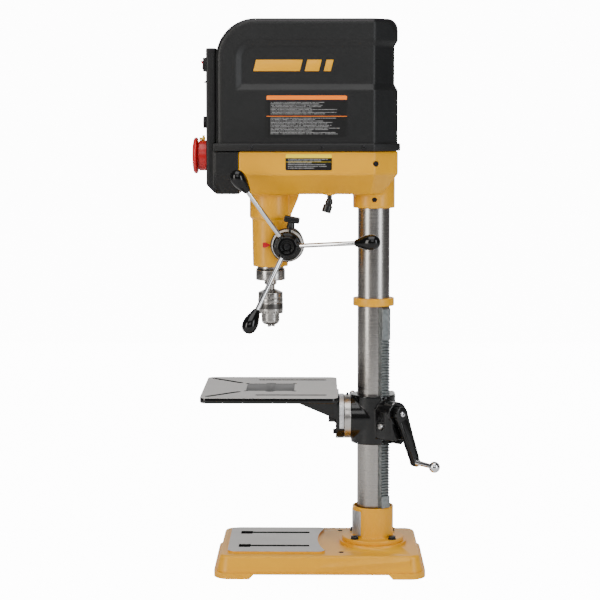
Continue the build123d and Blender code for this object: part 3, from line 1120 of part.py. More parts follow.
def make_lamp():
    centre = Vector(LAMP_X, LAMP_Y, HEAD_BOTTOM - LAMP_STEM_HALF)
    save("lamp_socket", lamp_stem() + Pos(*centre) * Sphere(LAMP_BALL_R))
    tilt = math.radians(LAMP_LEAN)
    way = Vector(0, -math.sin(tilt), -math.cos(tilt))
    pod = rod(LAMP_POD_R, tuple(centre + way), tuple(centre + way * 26))
    pod -= Pos(*centre) * Sphere(LAMP_BALL_R + RUN)
    save("lamp_pod", pod)


make_base()
make_socket()
make_column()
make_rack()
ring_screw = make_rack_ring()
make_bracket()
make_lift_gear()
make_crank()
make_column_lock()
make_table()
make_head(ring_screw)
make_feed()
make_spring()
make_quill()
make_spindle()
make_chuck()
make_drive()
make_cover()
make_panel()
make_stop()
make_signs()
make_lamp()
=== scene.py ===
"""Looks of a bench drill press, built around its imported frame.

Shapes are worked out in millimetres and turned to metres when a piece is finished.
"""
import logging
import math
from dataclasses import dataclass, field
from enum import Enum
from typing import Sequence

import bmesh
import bpy
from mathutils import Matrix, Vector


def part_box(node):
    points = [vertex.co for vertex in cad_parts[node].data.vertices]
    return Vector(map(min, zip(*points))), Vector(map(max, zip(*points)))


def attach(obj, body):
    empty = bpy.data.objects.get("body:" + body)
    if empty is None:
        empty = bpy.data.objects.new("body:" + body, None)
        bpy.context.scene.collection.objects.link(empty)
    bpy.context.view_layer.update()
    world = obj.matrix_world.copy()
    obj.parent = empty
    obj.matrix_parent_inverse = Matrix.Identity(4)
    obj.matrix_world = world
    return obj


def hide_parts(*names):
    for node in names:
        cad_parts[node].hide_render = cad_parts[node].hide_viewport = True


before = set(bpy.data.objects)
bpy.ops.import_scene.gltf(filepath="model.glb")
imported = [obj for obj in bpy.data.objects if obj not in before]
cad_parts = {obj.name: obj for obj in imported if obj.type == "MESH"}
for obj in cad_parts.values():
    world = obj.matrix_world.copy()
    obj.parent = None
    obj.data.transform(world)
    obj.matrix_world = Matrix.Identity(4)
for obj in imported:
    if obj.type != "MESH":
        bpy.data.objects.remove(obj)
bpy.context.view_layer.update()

LOG = logging.getLogger("drill_press")
MM = 0.001
FAR = 400.0  # a distance in millimetres that no piece reaches
Colour = tuple[float, float, float]
Point = tuple[float, float, float]
Profile = Sequence[tuple[float, float]]
Socket = bpy.types.NodeSocket
Shape = bmesh.types.BMesh


# ======================================================================================
# Node helpers
# ======================================================================================
class Nodes:
    """Adds and wires nodes in one node tree."""

    def __init__(self, tree: bpy.types.NodeTree) -> None:
        """Wrap a tree.

        Args:
            tree: the material's or the group's node tree.
        """
        self.tree = tree

    def add(self, kind: str, inputs: dict | None = None, **settings) -> bpy.types.Node:
        """Add a node, set its properties and fill or wire its inputs.

        Args:
            kind: node type, such as "ShaderNodeMath".
            inputs: input name or number to a value or to another node's output.
            settings: properties of the node itself.

        Returns:
            The new node.
        """
        node = self.tree.nodes.new(kind)
        for name, value in settings.items():
            setattr(node, name, value)
        for key, value in (inputs or {}).items():
            if isinstance(value, Socket):
                self.tree.links.new(value, node.inputs[key])
            else:
                node.inputs[key].default_value = value
        return node

    def math(self, operation: str, a, b=0.0, clamp: bool = False) -> Socket:
        """Add a Math node.

        Args:
            operation: the node's operation.
            a: first value or socket.
            b: second value or socket.
            clamp: keep the result between 0 and 1.

        Returns:
            Its value output.
        """
        return self.add("ShaderNodeMath", {0: a, 1: b}, operation=operation, use_clamp=clamp).outputs[0]

    def times(self, a, b, clamp: bool = False) -> Socket:
        """Multiply two values or sockets; clamp keeps the result between 0 and 1."""
        return self.math("MULTIPLY", a, b, clamp)

    def plus(self, a, b, clamp: bool = False) -> Socket:
        """Add two values or sockets; clamp keeps the result between 0 and 1."""
        return self.math("ADD", a, b, clamp)

    def minus(self, a, b) -> Socket:
        """Take the second value or socket from the first."""
        return self.math("SUBTRACT", a, b)

    def above(self, a, b) -> Socket:
        """Mask that is 1 where the first value is greater than the second."""
        return self.math("GREATER_THAN", a, b)

    def below(self, a, b) -> Socket:
        """Mask that is 1 where the first value is less than the second."""
        return self.math("LESS_THAN", a, b)

    def place(self) -> Socket:
        """Object coordinates in metres."""
        return self.add("ShaderNodeTexCoord").outputs["Object"]

    def axes(self) -> bpy.types.NodeOutputs:
        """X, Y and Z of the object coordinates."""
        return self.add("ShaderNodeSeparateXYZ", {0: self.place()}).outputs

    def noise(self, scale, detail: float, place=None) -> Socket:
        """Add a Noise Texture.

        Args:
            scale: its scale, a value or a socket.
            detail: its detail.
            place: its coordinates; the generated ones when left out.

        Returns:
            Its value output.
        """
        inputs = {"Scale": scale, "Detail": detail}
        if place is not None:
            inputs["Vector"] = place
        return self.add("ShaderNodeTexNoise", inputs).outputs[0]

    def wire(self, node: bpy.types.Node, **sources: Socket) -> None:
        """Wire sockets into a node's inputs.

        Args:
            node: the node.
            sources: sockets by input name, with underscores for spaces.
        """
        for key, socket in sources.items():
            self.tree.links.new(socket, node.inputs[key.replace("_", " ")])

    def blend(self, factor, first, second) -> Socket:
        """Mix two colours.

        Args:
            factor: share of the second colour.
            first: colour or socket.
            second: colour or socket.

        Returns:
            The mixed colour.
        """
        node = self.add("ShaderNodeMix", data_type="RGBA")
        for index, value in ((0, factor), (6, first), (7, second)):
            if isinstance(value, Socket):
                self.tree.links.new(value, node.inputs[index])
            elif index == 0:
                node.inputs[index].default_value = value
            else:
                node.inputs[index].default_value = (*value[:3], 1.0)
        return node.outputs[2]

    def ramp(self, factor, stops: Profile) -> Socket:
        """Turn a value into another through a grey ramp.

        Args:
            factor: the value.
            stops: position and brightness of each stop.

        Returns:
            The ramp's colour output.
        """
        node = self.add("ShaderNodeValToRGB", {0: factor})
        elements = node.color_ramp.elements
        while len(elements) < len(stops):
            elements.new(0.5)
        for element, (place, grey) in zip(elements, stops):
            element.position = place
            element.color = (grey, grey, grey, 1.0)
        return node.outputs[0]


def shader_group(name: str, inputs: Sequence[tuple[str, str, float]],
                 outputs: Sequence[tuple[str, str]],
                 ) -> tuple[bpy.types.NodeTree, Nodes, dict, bpy.types.Node]:
    """Start a shader node group.

    Args:
        name: the group's name.
        inputs: name, socket type and default of each input.
        outputs: name and socket type of each output.

    Returns:
        The tree, its helper, its input sockets by name, and its output node.
    """
    tree = bpy.data.node_groups.new(name, "ShaderNodeTree")
    for label, kind, default in inputs:
        socket = tree.interface.new_socket(name=label, in_out="INPUT", socket_type=kind)
        if kind == "NodeSocketFloat":
            socket.default_value = default
    for label, kind in outputs:
        tree.interface.new_socket(name=label, in_out="OUTPUT", socket_type=kind)
    helper = Nodes(tree)
    source = tree.nodes.new("NodeGroupInput")
    sink = tree.nodes.new("NodeGroupOutput")
    return tree, helper, {socket.name: socket for socket in source.outputs}, sink


def build_cast_coat() -> bpy.types.NodeTree:
    """Group for sprayed paint: orange peel, colour drift and small specks.

    Returns:
        The group.
    """
    tree, n, ins, sink = shader_group(
        "cast_coat", [("Peel Scale", "NodeSocketFloat", 700.0), ("Drift Scale", "NodeSocketFloat", 9.0)],
        [("Peel", "NodeSocketFloat"), ("Drift", "NodeSocketFloat"), ("Specks", "NodeSocketFloat")])
    place = n.place()
    peel = n.noise(ins["Peel Scale"], 2.0, place)
    drift = n.noise(ins["Drift Scale"], 4.0, place)
    dots = n.add("ShaderNodeTexVoronoi", {"Vector": place, "Scale": 210.0})
    far = n.below(dots.outputs["Distance"], 0.06)
    rare = n.above(n.add("ShaderNodeSeparateColor", {0: dots.outputs["Color"]}).outputs[0], 0.9)
    specks = n.times(far, rare)
    n.wire(sink, Peel=peel, Drift=drift, Specks=specks)
    return tree


def build_edge_rub() -> bpy.types.NodeTree:
    """Group for edges: a mask of sharp edges, broken up by noise, and a softened normal.

    Returns:
        The group.
    """
    tree, n, ins, sink = shader_group(
        "edge_rub", [("Radius", "NodeSocketFloat", 0.0008), ("Amount", "NodeSocketFloat", 0.5)],
        [("Mask", "NodeSocketFloat"), ("Normal", "NodeSocketVector")])
    soft = n.add("ShaderNodeBevel", {"Radius": ins["Radius"]}, samples=4)
    geometry = n.add("ShaderNodeNewGeometry")
    dot = n.add("ShaderNodeVectorMath", {0: soft.outputs[0], 1: geometry.outputs["Normal"]},
                operation="DOT_PRODUCT").outputs["Value"]
    bend = n.minus(1.0, dot)
    place = n.place()
    patch = n.noise(160.0, 5.0, place)
    worn = n.times(n.times(bend, 9.0), n.ramp(patch, [(0.42, 0.0), (0.62, 1.0)]))
    mask = n.times(worn, ins["Amount"], clamp=True)
    n.wire(sink, Mask=mask, Normal=soft.outputs[0])
    return tree


def build_tool_marks() -> bpy.types.NodeTree:
    """Group for ground or turned metal: fine lines, each axis at its own frequency.

    Returns:
        The group.
    """
    tree, n, ins, sink = shader_group(
        "tool_marks", [("Vector", "NodeSocketVector", 0.0), ("Across X", "NodeSocketFloat", 10.0),
                       ("Across Y", "NodeSocketFloat", 10.0), ("Across Z", "NodeSocketFloat", 900.0)],
        [("Lines", "NodeSocketFloat"), ("Stain", "NodeSocketFloat")])
    stretch = n.add("ShaderNodeCombineXYZ", {0: ins["Across X"], 1: ins["Across Y"], 2: ins["Across Z"]})
    scaled = n.add("ShaderNodeVectorMath", {0: ins["Vector"], 1: stretch.outputs[0]}, operation="MULTIPLY")
    lines = n.noise(1.0, 3.0, scaled.outputs[0])
    stain = n.noise(14.0, 5.0, ins["Vector"])
    n.wire(sink, Lines=lines, Stain=stain)
    return tree


def build_fine_dust() -> bpy.types.NodeTree:
    """Group for a little dust on faces that look up.

    Returns:
        The group.
    """
    tree, n, ins, sink = shader_group("fine_dust", [("Amount", "NodeSocketFloat", 0.2)],
                                      [("Mask", "NodeSocketFloat")])
    coord = n.add("ShaderNodeTexCoord")
    up = n.add("ShaderNodeSeparateXYZ", {0: coord.outputs["Normal"]}).outputs[2]
    patch = n.noise(45.0, 7.0, coord.outputs["Object"])
    lying = n.times(n.ramp(up, [(0.55, 0.0), (1.0, 1.0)]), n.ramp(patch, [(0.4, 0.0), (0.75, 1.0)]))
    mask = n.times(lying, ins["Amount"], clamp=True)
    n.wire(sink, Mask=mask)
    return tree


class Effects:
    """The shared node groups, each built once."""

    coat: bpy.types.NodeTree
    edge: bpy.types.NodeTree
    marks: bpy.types.NodeTree
    dust: bpy.types.NodeTree

    @classmethod
    def build(cls) -> None:
        """Build the four groups."""
        cls.coat = build_cast_coat()
        cls.edge = build_edge_rub()
        cls.marks = build_tool_marks()
        cls.dust = build_fine_dust()


# ======================================================================================
# Finishes
# ======================================================================================
def start_material(name: str) -> tuple[bpy.types.Material, Nodes, bpy.types.Node]:
    """Make a material with a Principled shader.

    Args:
        name: the material's name.

    Returns:
        The material, its node helper and the shader node.
    """
    material = bpy.data.materials.new(name)
    material.use_nodes = True
    return material, Nodes(material.node_tree), material.node_tree.nodes["Principled BSDF"]


def use_group(n: Nodes, tree: bpy.types.NodeTree, **inputs) -> bpy.types.Node:
    """Place a shared group in a material.

    Args:
        n: the material's node helper.
        tree: the group.
        inputs: its inputs, with underscores for spaces.

    Returns:
        The group node.
    """
    node = n.add("ShaderNodeGroup", node_tree=tree)
    for key, value in inputs.items():
        socket = node.inputs[key.replace("_", " ")]
        if isinstance(value, Socket):
            n.tree.links.new(value, socket)
        else:
            socket.default_value = value
    return node


def bumped(n: Nodes, height, strength: float, distance: float, normal=None) -> Socket:
    """Add a Bump node.

    Args:
        n: the material's node helper.
        height: height socket.
        strength: the bump's strength.
        distance: the bump's depth in metres.
        normal: normal socket that the bump starts from.

    Returns:
        The bumped normal.
    """
    inputs = {"Height": height, "Strength": strength, "Distance": distance}
    if normal is not None:
        inputs["Normal"] = normal
    return n.add("ShaderNodeBump", inputs).outputs[0]


@dataclass(frozen=True)
class Enamel:
    """Sprayed enamel on cast iron or steel."""

    name: str
    colour: Colour
    deep: Colour
    bare: Colour = (0.12, 0.11, 0.1)
    roughness: float = 0.34
    coat: float = 0.25
    peel_depth: float = 0.00006
    peel_scale: float = 620.0
    rub: float = 0.25
    dust: float = 0.12
    specular: float = 0.35

    def build(self) -> bpy.types.Material:
        """Build the material.

        Returns:
            The material.
        """
        material, n, shader = start_material(self.name)
        coat = use_group(n, Effects.coat, Peel_Scale=self.peel_scale, Drift_Scale=7.0)
        edge = use_group(n, Effects.edge, Radius=0.0009, Amount=self.rub)
        dust = use_group(n, Effects.dust, Amount=self.dust)
        paint = n.blend(n.ramp(coat.outputs["Drift"], [(0.35, 0.0), (0.7, 1.0)]), self.colour, self.deep)
        paint = n.blend(coat.outputs["Specks"], paint, self.deep)
        paint = n.blend(edge.outputs["Mask"], paint, self.bare)
        paint = n.blend(dust.outputs["Mask"], paint, (0.62, 0.58, 0.52))
        n.wire(shader, Base_Color=paint)
        rough = n.plus(n.times(coat.outputs["Drift"], 0.1), self.roughness - 0.05)
        rough = n.plus(rough, n.times(dust.outputs["Mask"], 0.3), clamp=True)
        n.wire(shader, Roughness=rough, Normal=bumped(n, coat.outputs["Peel"], 0.35, self.peel_depth,
                                                      edge.outputs["Normal"]))
        shader.inputs["Specular IOR Level"].default_value = self.specular
        shader.inputs["Coat Weight"].default_value = self.coat
        shader.inputs["Coat Roughness"].default_value = 0.12
        return material


@dataclass(frozen=True)
class MouldedPlastic:
    """Moulded plastic, polished or with a fine spark texture."""

    name: str
    colour: Colour
    pale: Colour
    roughness: float = 0.5
    texture_depth: float = 0.00012
    texture_scale: float = 900.0
    dust: float = 0.1
    specular: float = 0.5

    def build(self) -> bpy.types.Material:
        """Build the material.

        Returns:
            The material.
        """
        material, n, shader = start_material(self.name)
        coord = n.add("ShaderNodeTexCoord")
        grain = n.add("ShaderNodeTexNoise", {"Vector": coord.outputs["Object"], "Scale": self.texture_scale,
                                             "Detail": 3.0, "Roughness": 0.6}).outputs[0]
        cells = n.add("ShaderNodeTexVoronoi", {"Vector": coord.outputs["Object"],
                                               "Scale": self.texture_scale * 0.7})
        edge = use_group(n, Effects.edge, Radius=0.001, Amount=0.35)
        dust = use_group(n, Effects.dust, Amount=self.dust)
        drift = n.noise(11.0, 4.0, coord.outputs["Object"])
        tone = n.blend(n.times(n.plus(drift, grain), 0.5), self.colour, self.pale)
        tone = n.blend(edge.outputs["Mask"], tone, tuple(min(1.0, c * 1.6 + 0.02) for c in self.pale))
        tone = n.blend(dust.outputs["Mask"], tone, (0.4, 0.38, 0.35))
        n.wire(shader, Base_Color=tone)
        rough = n.plus(n.times(drift, 0.14), self.roughness - 0.07, clamp=True)
        n.wire(shader, Roughness=rough)
        height = n.plus(grain, n.times(cells.outputs["Distance"], 0.8))
        n.wire(shader, Normal=bumped(n, height, 0.5, self.texture_depth, edge.outputs["Normal"]))
        shader.inputs["Specular IOR Level"].default_value = self.specular
        return material


class Lay(Enum):
    """Direction of the tool marks on a metal, as the frequency across X, Y and Z."""

    ALONG_X = (14.0, 1500.0, 1500.0)
    ALONG_Y = (1500.0, 14.0, 1500.0)
    AROUND_Z = (6.0, 6.0, 2600.0)
    AROUND_Y = (6.0, 2600.0, 6.0)
    AROUND_X = (2600.0, 6.0, 6.0)
    PLAIN = (160.0, 160.0, 160.0)


@dataclass(frozen=True)
class Metal:
    """Bare or plated metal with tool marks."""

    name: str
    colour: Colour
    dark: Colour
    lay: Lay = Lay.PLAIN
    roughness: float = 0.3
    spread: float = 0.12
    depth: float = 0.00002
    metallic: float = 1.0
    edge_colour: Colour = (0.75, 0.74, 0.72)
    rub: float = 0.5

    def build(self) -> bpy.types.Material:
        """Build the material.

        Returns:
            The material.
        """
        material, n, shader = start_material(self.name)
        place = n.place()
        across = self.lay.value
        marks = use_group(n, Effects.marks, Vector=place, Across_X=across[0], Across_Y=across[1],
                          Across_Z=across[2])
        edge = use_group(n, Effects.edge, Radius=0.0005, Amount=self.rub)
        tone = n.blend(n.ramp(marks.outputs["Lines"], [(0.3, 0.0), (0.7, 1.0)]), self.dark, self.colour)
        tone = n.blend(n.times(n.ramp(marks.outputs["Stain"], [(0.45, 0.0), (0.75, 1.0)]), 0.35),
                       tone, self.dark)
        tone = n.blend(edge.outputs["Mask"], tone, self.edge_colour)
        n.wire(shader, Base_Color=tone)
        rough = n.plus(n.times(marks.outputs["Lines"], self.spread),
                       self.roughness - self.spread / 2)
        rough = n.plus(rough, n.times(marks.outputs["Stain"], self.spread * 0.5), clamp=True)
        n.wire(shader, Roughness=rough, Normal=bumped(n, marks.outputs["Lines"], 0.5, self.depth,
                                                      edge.outputs["Normal"]))
        shader.inputs["Metallic"].default_value = self.metallic
        return material


@dataclass(frozen=True)
class DialPrint:
    """White printed band with dark graduations around the X axis through a centre."""

    name: str
    centre_y: float
    centre_z: float
    count: int = 60
    outer: float = 36.0

    def build(self) -> bpy.types.Material:
        """Build the material.

        Returns:
            The material.
        """
        material, n, shader = start_material(self.name)
        place = n.axes()
        across = n.minus(place[1], self.centre_y * MM)
        up = n.minus(place[2], self.centre_z * MM)
        angle = n.math("DIVIDE", n.math("ARCTAN2", up, across), 2 * math.pi)
        radius = n.math("SQRT", n.plus(n.times(across, across), n.times(up, up)))
        ticks = graduation(n, angle, self.count, 0.2)
        long_ticks = graduation(n, angle, self.count // 5, 0.06)
        edge_near = n.above(radius, (self.outer - 3.2) * MM)
        edge_far = n.above(radius, (self.outer - 5.4) * MM)
        print_mask = n.math("MAXIMUM", n.times(ticks, edge_near),
                            n.times(long_ticks, edge_far), clamp=True)
        tone = n.blend(print_mask, (0.8, 0.79, 0.76), (0.02, 0.02, 0.02))
        stain = n.noise(90.0, 4.0)
        tone = n.blend(n.times(stain, 0.12), tone, (0.45, 0.42, 0.36))
        n.wire(shader, Base_Color=tone, Roughness=n.plus(n.times(stain, 0.2), 0.3))
        return material


def graduation(n: Nodes, turn: Socket, count: int, share: float) -> Socket:
    """Mask of evenly spaced ticks.

    Args:
        n: the material's node helper.
        turn: position along the scale, one unit for all of it.
        count: ticks in one unit.
        share: width of a tick as a share of its spacing.

    Returns:
        A mask that is 1 on the ticks.
    """
    saw = n.math("FRACT", n.plus(n.times(turn, float(count)), 100.0))
    return n.below(saw, share)


@dataclass(frozen=True)
class ScalePrint:
    """Satin aluminium strip with graduations around the Y axis through a centre."""

    name: str
    centre_z: float

    def build(self) -> bpy.types.Material:
        """Build the material.

        Returns:
            The material.
        """
        material, n, shader = start_material(self.name)
        place = n.axes()
        up = n.minus(place[2], self.centre_z * MM)
        angle = n.math("DIVIDE", n.math("ARCTAN2", up, place[0]), 2 * math.pi)
        along = place[1]
        short = n.times(graduation(n, angle, 180, 0.18), n.above(along, -0.0695))
        tall = n.times(graduation(n, angle, 36, 0.045), n.above(along, -0.0735))
        ticks = n.math("MAXIMUM", short, tall, clamp=True)
        grain = n.noise(400.0, 3.0)
        plate = n.blend(grain, (0.74, 0.74, 0.75), (0.86, 0.86, 0.87))
        n.wire(shader, Base_Color=n.blend(ticks, plate, (0.03, 0.03, 0.03)),
               Roughness=n.plus(n.times(grain, 0.15), 0.3))
        shader.inputs["Metallic"].default_value = 0.55
        return material


@dataclass(frozen=True)
class LabelPrint:
    """Dark label film with a coloured header and rows of plain rules, on a face across X."""

    name: str
    low: tuple[float, float]
    high: tuple[float, float]
    header: Colour
    header_share: float
    rows: int
    divider: float

    def build(self) -> bpy.types.Material:
        """Build the material.

        Returns:
            The material.
        """
        material, n, shader = start_material(self.name)
        place = n.axes()
        wide = (self.high[0] - self.low[0]) * MM
        tall = (self.high[1] - self.low[1]) * MM
        u = n.math("DIVIDE", n.minus(place[1], self.low[0] * MM), wide)
        v = n.math("DIVIDE", n.minus(place[2], self.low[1] * MM), tall)
        head = n.above(v, 1.0 - self.header_share)
        row = n.times(v, float(self.rows))
        line = n.below(n.math("FRACT", row), 0.42)
        number = n.math("FLOOR", row)
        length = n.add("ShaderNodeTexWhiteNoise", {"W": number}, noise_dimensions="1D").outputs["Value"]
        end = n.plus(n.times(length, 0.38), 0.56)
        word = n.add("ShaderNodeTexNoise", {"Vector": n.add("ShaderNodeCombineXYZ", {
            0: n.times(u, 90.0), 1: n.times(number, 7.3)}).outputs[0], "Scale": 1.0,
            "Detail": 1.0}).outputs[0]
        inside = n.times(n.above(u, 0.05), n.below(u, end))
        body = n.times(n.above(v, 0.07), n.below(v, 0.96 - self.header_share))
        ink = n.times(n.times(line, inside), body)
        ink = n.times(ink, n.above(word, 0.42))
        split = n.below(n.math("ABSOLUTE", n.minus(v, self.divider)), 0.007)
        near_split = n.below(n.math("ABSOLUTE", n.minus(v, self.divider)), 0.03)
        ink = n.times(ink, n.minus(1.0, near_split))
        tone = n.blend(n.times(ink, 0.6), (0.002, 0.002, 0.002), (0.42, 0.42, 0.42))
        tone = n.blend(n.math("MAXIMUM", head, split, clamp=True), tone, self.header)
        n.wire(shader, Base_Color=tone)
        haze = n.noise(60.0, 3.0)
        n.wire(shader, Roughness=n.plus(n.times(haze, 0.15), 0.28))
        return material


GOLD = Enamel("gold_enamel", (0.80, 0.375, 0.002), (0.75, 0.34, 0.001), bare=(0.42, 0.20, 0.02),
              roughness=0.4,
              coat=0.1, dust=0.02)
BLACK = Enamel("black_enamel", (0.0035, 0.0035, 0.0038), (0.005, 0.005, 0.005), bare=(0.05, 0.05, 0.05),
               roughness=0.15, coat=0.12, peel_depth=0.00007, peel_scale=420.0, dust=0.01)
COVER_PLASTIC = MouldedPlastic("cover_plastic", (0.003, 0.003, 0.0032), (0.006, 0.006, 0.0063),
                               roughness=0.46,
                               texture_scale=1100.0, texture_depth=0.00016, dust=0.02, specular=0.4)
GLOSS = MouldedPlastic("gloss_black_plastic", (0.0018, 0.0018, 0.002), (0.003, 0.003, 0.003), roughness=0.11,
                       specular=0.35,
                       texture_depth=0.00001, dust=0.02)
SATIN_BLACK = MouldedPlastic("satin_black_plastic", (0.003, 0.003, 0.0033), (0.006, 0.006, 0.0063),
                             roughness=0.32,
                             texture_depth=0.00003)
RED = MouldedPlastic("red_plastic", (0.50, 0.004, 0.006), (0.60, 0.008, 0.010), roughness=0.3,
                     texture_depth=0.00001, dust=0.03)
YELLOW = MouldedPlastic("yellow_plastic", (0.80, 0.50, 0.03), (0.86, 0.58, 0.06), roughness=0.35,
                        texture_depth=0.00001, dust=0.03)
RUBBER = MouldedPlastic("belt_rubber", (0.012, 0.012, 0.012), (0.02, 0.02, 0.02), roughness=0.75)
GROUND_TOP = Metal("ground_top", (0.56, 0.54, 0.52), (0.47, 0.455, 0.44), Lay.ALONG_X, roughness=0.42,
                   spread=0.14)
GROUND_COLUMN = Metal("ground_column", (0.44, 0.42, 0.40), (0.33, 0.315, 0.30), Lay.AROUND_Z, roughness=0.24,
                      spread=0.16, depth=0.000012)
TURNED_Z = Metal("turned_upright", (0.50, 0.48, 0.46), (0.34, 0.325, 0.31), Lay.AROUND_Z, roughness=0.22)
TURNED_Y = Metal("turned_ring", (0.62, 0.60, 0.57), (0.45, 0.43, 0.41), Lay.AROUND_Y, roughness=0.26)
TURNED_X = Metal("turned_across", (0.60, 0.59, 0.575), (0.45, 0.44, 0.43), Lay.AROUND_X, roughness=0.28)
CHROME = Metal("bright_chrome", (0.76, 0.76, 0.77), (0.70, 0.70, 0.71), Lay.PLAIN, roughness=0.07,
               spread=0.04,
               depth=0.000004, rub=0.0)
ZINC = Metal("zinc_plate", (0.30, 0.32, 0.32), (0.19, 0.205, 0.205), Lay.PLAIN, roughness=0.4, spread=0.2)
# Black oxide on screws, bolts and pins; also the dark painted shade that lines slots, holes and the crank
# screw socket.
OXIDE_AND_SHADE = Metal("black_oxide", (0.022, 0.022, 0.024), (0.012, 0.012, 0.013), Lay.PLAIN, roughness=0.36,
              metallic=0.6, edge_colour=(0.10, 0.10, 0.10), rub=0.4)
BLUED = Metal("blued_steel", (0.12, 0.115, 0.11), (0.07, 0.067, 0.065), Lay.AROUND_Z, roughness=0.34)
INSERT_STEEL = Metal("insert_steel", (0.10, 0.098, 0.096), (0.06, 0.058, 0.057), Lay.ALONG_Y, roughness=0.45)
ALUMINIUM = Metal("satin_aluminium", (0.72, 0.72, 0.73), (0.62, 0.62, 0.63), Lay.ALONG_X, roughness=0.36,
                  spread=0.1)


class Finishes:
    """Builds each finish once and hands it out."""

    made: dict[str, bpy.types.Material] = {}

    @classmethod
    def of(cls, finish) -> bpy.types.Material:
        """Material of a finish.

        Args:
            finish: any of the finish classes' values.

        Returns:
            The material, built at its first use.
        """
        if finish.name not in cls.made:
            cls.made[finish.name] = finish.build()
        return cls.made[finish.name]


# ======================================================================================
# Mesh helpers
# ======================================================================================
class Axis(Enum):
    """Main directions, as the matrix that turns +Z to them."""

    X = Matrix.Rotation(math.pi / 2, 4, "Y")
    Y = Matrix.Rotation(-math.pi / 2, 4, "X")
    Z = Matrix.Identity(4)
    MINUS_Y = Matrix.Rotation(math.pi / 2, 4, "X")


SIDE_PLANE = Matrix(((0, 0, 1, 0), (1, 0, 0, 0), (0, 1, 0, 0), (0, 0, 0, 1)))
"""Turn that lays an outline's X along Y and its Y along Z."""


def toward(direction: Sequence[float]) -> Matrix:
    """Matrix that turns +Z to a direction.

    Args:
        direction: the direction.

    Returns:
        The turn.
    """
    return Vector(direction).to_track_quat("Z", "Y").to_matrix().to_4x4()


def node_box(name: str) -> tuple[Vector, Vector]:
    """Corners of a CAD node in millimetres.

    Args:
        name: the node.

    Returns:
        Its lowest and highest corner.
    """
    low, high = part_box(name)
    return Vector(low) / MM, Vector(high) / MM


def finish_piece(name: str, shape: Shape, finish, body: str,
                 replaces: Sequence[str] = (), sharp: float = 35.0) -> bpy.types.Object:
    """Turn a bmesh in millimetres into a finished piece.

    Args:
        name: the piece's name.
        shape: its mesh, freed here.
        finish: its finish, or a list of them for its material indices.
        body: body that it rides on.
        replaces: CAD nodes that it stands for.
        sharp: angle in degrees above which an edge stays sharp.

    Returns:
        The object.
    """
    bmesh.ops.remove_doubles(shape, verts=shape.verts, dist=0.0005)
    bmesh.ops.recalc_face_normals(shape, faces=shape.faces)
    bmesh.ops.scale(shape, vec=(MM, MM, MM), verts=shape.verts)
    mesh = bpy.data.meshes.new(name)
    shape.to_mesh(mesh)
    shape.free()
    mesh.shade_smooth()
    mesh.set_sharp_from_angle(angle=math.radians(sharp))
    piece = bpy.data.objects.new(name, mesh)
    bpy.context.scene.collection.objects.link(piece)
    for one in finish if isinstance(finish, list) else [finish]:
        mesh.materials.append(Finishes.of(one))
    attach(piece, body)
    if replaces:
        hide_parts(*replaces)
    LOG.info("%s: %d faces on %s", name, len(mesh.polygons), body)
    return piece


def dress(node: str, finish) -> None:
    """Give a carried-over CAD node its finish.

    Args:
        node: the CAD node.
        finish: the finish.
    """
    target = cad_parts[node]
    material = Finishes.of(finish)
    if not target.data.materials:
        target.data.materials.append(material)
    for place in target.material_slots:
        place.material = material


def spun(profile: Profile, turn: Matrix, origin: Sequence[float],
         steps: int = 64) -> Shape:
    """Turn a profile of (radius, height) points around an axis.

    Args:
        profile: the points, from one end to the other.
        turn: matrix that takes +Z to the axis.
        origin: where height 0 lies.
        steps: divisions around.

    Returns:
        The mesh.
    """
    shape = bmesh.new()
    verts = [shape.verts.new((max(radius, 0.0), 0.0, height)) for radius, height in profile]
    edges = [shape.edges.new(pair) for pair in zip(verts, verts[1:])]
    bmesh.ops.spin(shape, geom=verts + edges, cent=(0, 0, 0), axis=(0, 0, 1), angle=2 * math.pi,
                   steps=steps, use_merge=True)
    bmesh.ops.remove_doubles(shape, verts=shape.verts, dist=0.0005)
    bmesh.ops.transform(shape, matrix=Matrix.Translation(origin) @ turn, verts=shape.verts)
    return shape


def rounded_profile(points: Profile, radius: float, cuts: int = 3) -> list[tuple[float, float]]:
    """Round the inner corners of a profile.

    Args:
        points: the corners of the open profile.
        radius: rounding, limited by half of the shorter side.
        cuts: points on each rounding beyond its ends.

    Returns:
        The rounded profile.
    """
    out = [points[0]]
    for before, corner, after in zip(points, points[1:], points[2:]):
        c = Vector(corner)
        a, b = Vector(before) - c, Vector(after) - c
        reach = min(radius, a.length * 0.48, b.length * 0.48)
        start, end = c + a.normalized() * reach, c + b.normalized() * reach
        for index in range(cuts + 1):
            t = index / cuts
            out.append(tuple(start * (1 - t) ** 2 + c * 2 * t * (1 - t) + end * t ** 2))
    out.append(points[-1])
    return out


def lathe(profile: Profile, radius: float, turn: Matrix, origin: Sequence[float],
          steps: int = 64) -> Shape:
    """Turned shape with rounded corners.

    Args:
        profile: (radius, height) corners.
        radius: corner rounding.
        turn: matrix that takes +Z to its axis.
        origin: where height 0 lies.
        steps: divisions around.

    Returns:
        The mesh.
    """
    return spun(rounded_profile(profile, radius), turn, origin, steps)


def turned_piece(name: str, profile: Profile, turn: Matrix, origin: Sequence[float], finish,
                 body: str, replaces: Sequence[str] = (), radius: float = 0.6,
                 steps: int = 64) -> bpy.types.Object:
    """Make a turned piece with rounded corners.

    Args:
        name: the piece's name.
        profile: (radius, height) corners.
        turn: matrix that takes +Z to its axis.
        origin: where height 0 lies.
        finish: its finish.
        body: body that it rides on.
        replaces: CAD nodes that it stands for.
        radius: corner rounding.
        steps: divisions around.

    Returns:
        The object.
    """
    return finish_piece(name, lathe(profile, radius, turn, origin, steps), finish, body, replaces)


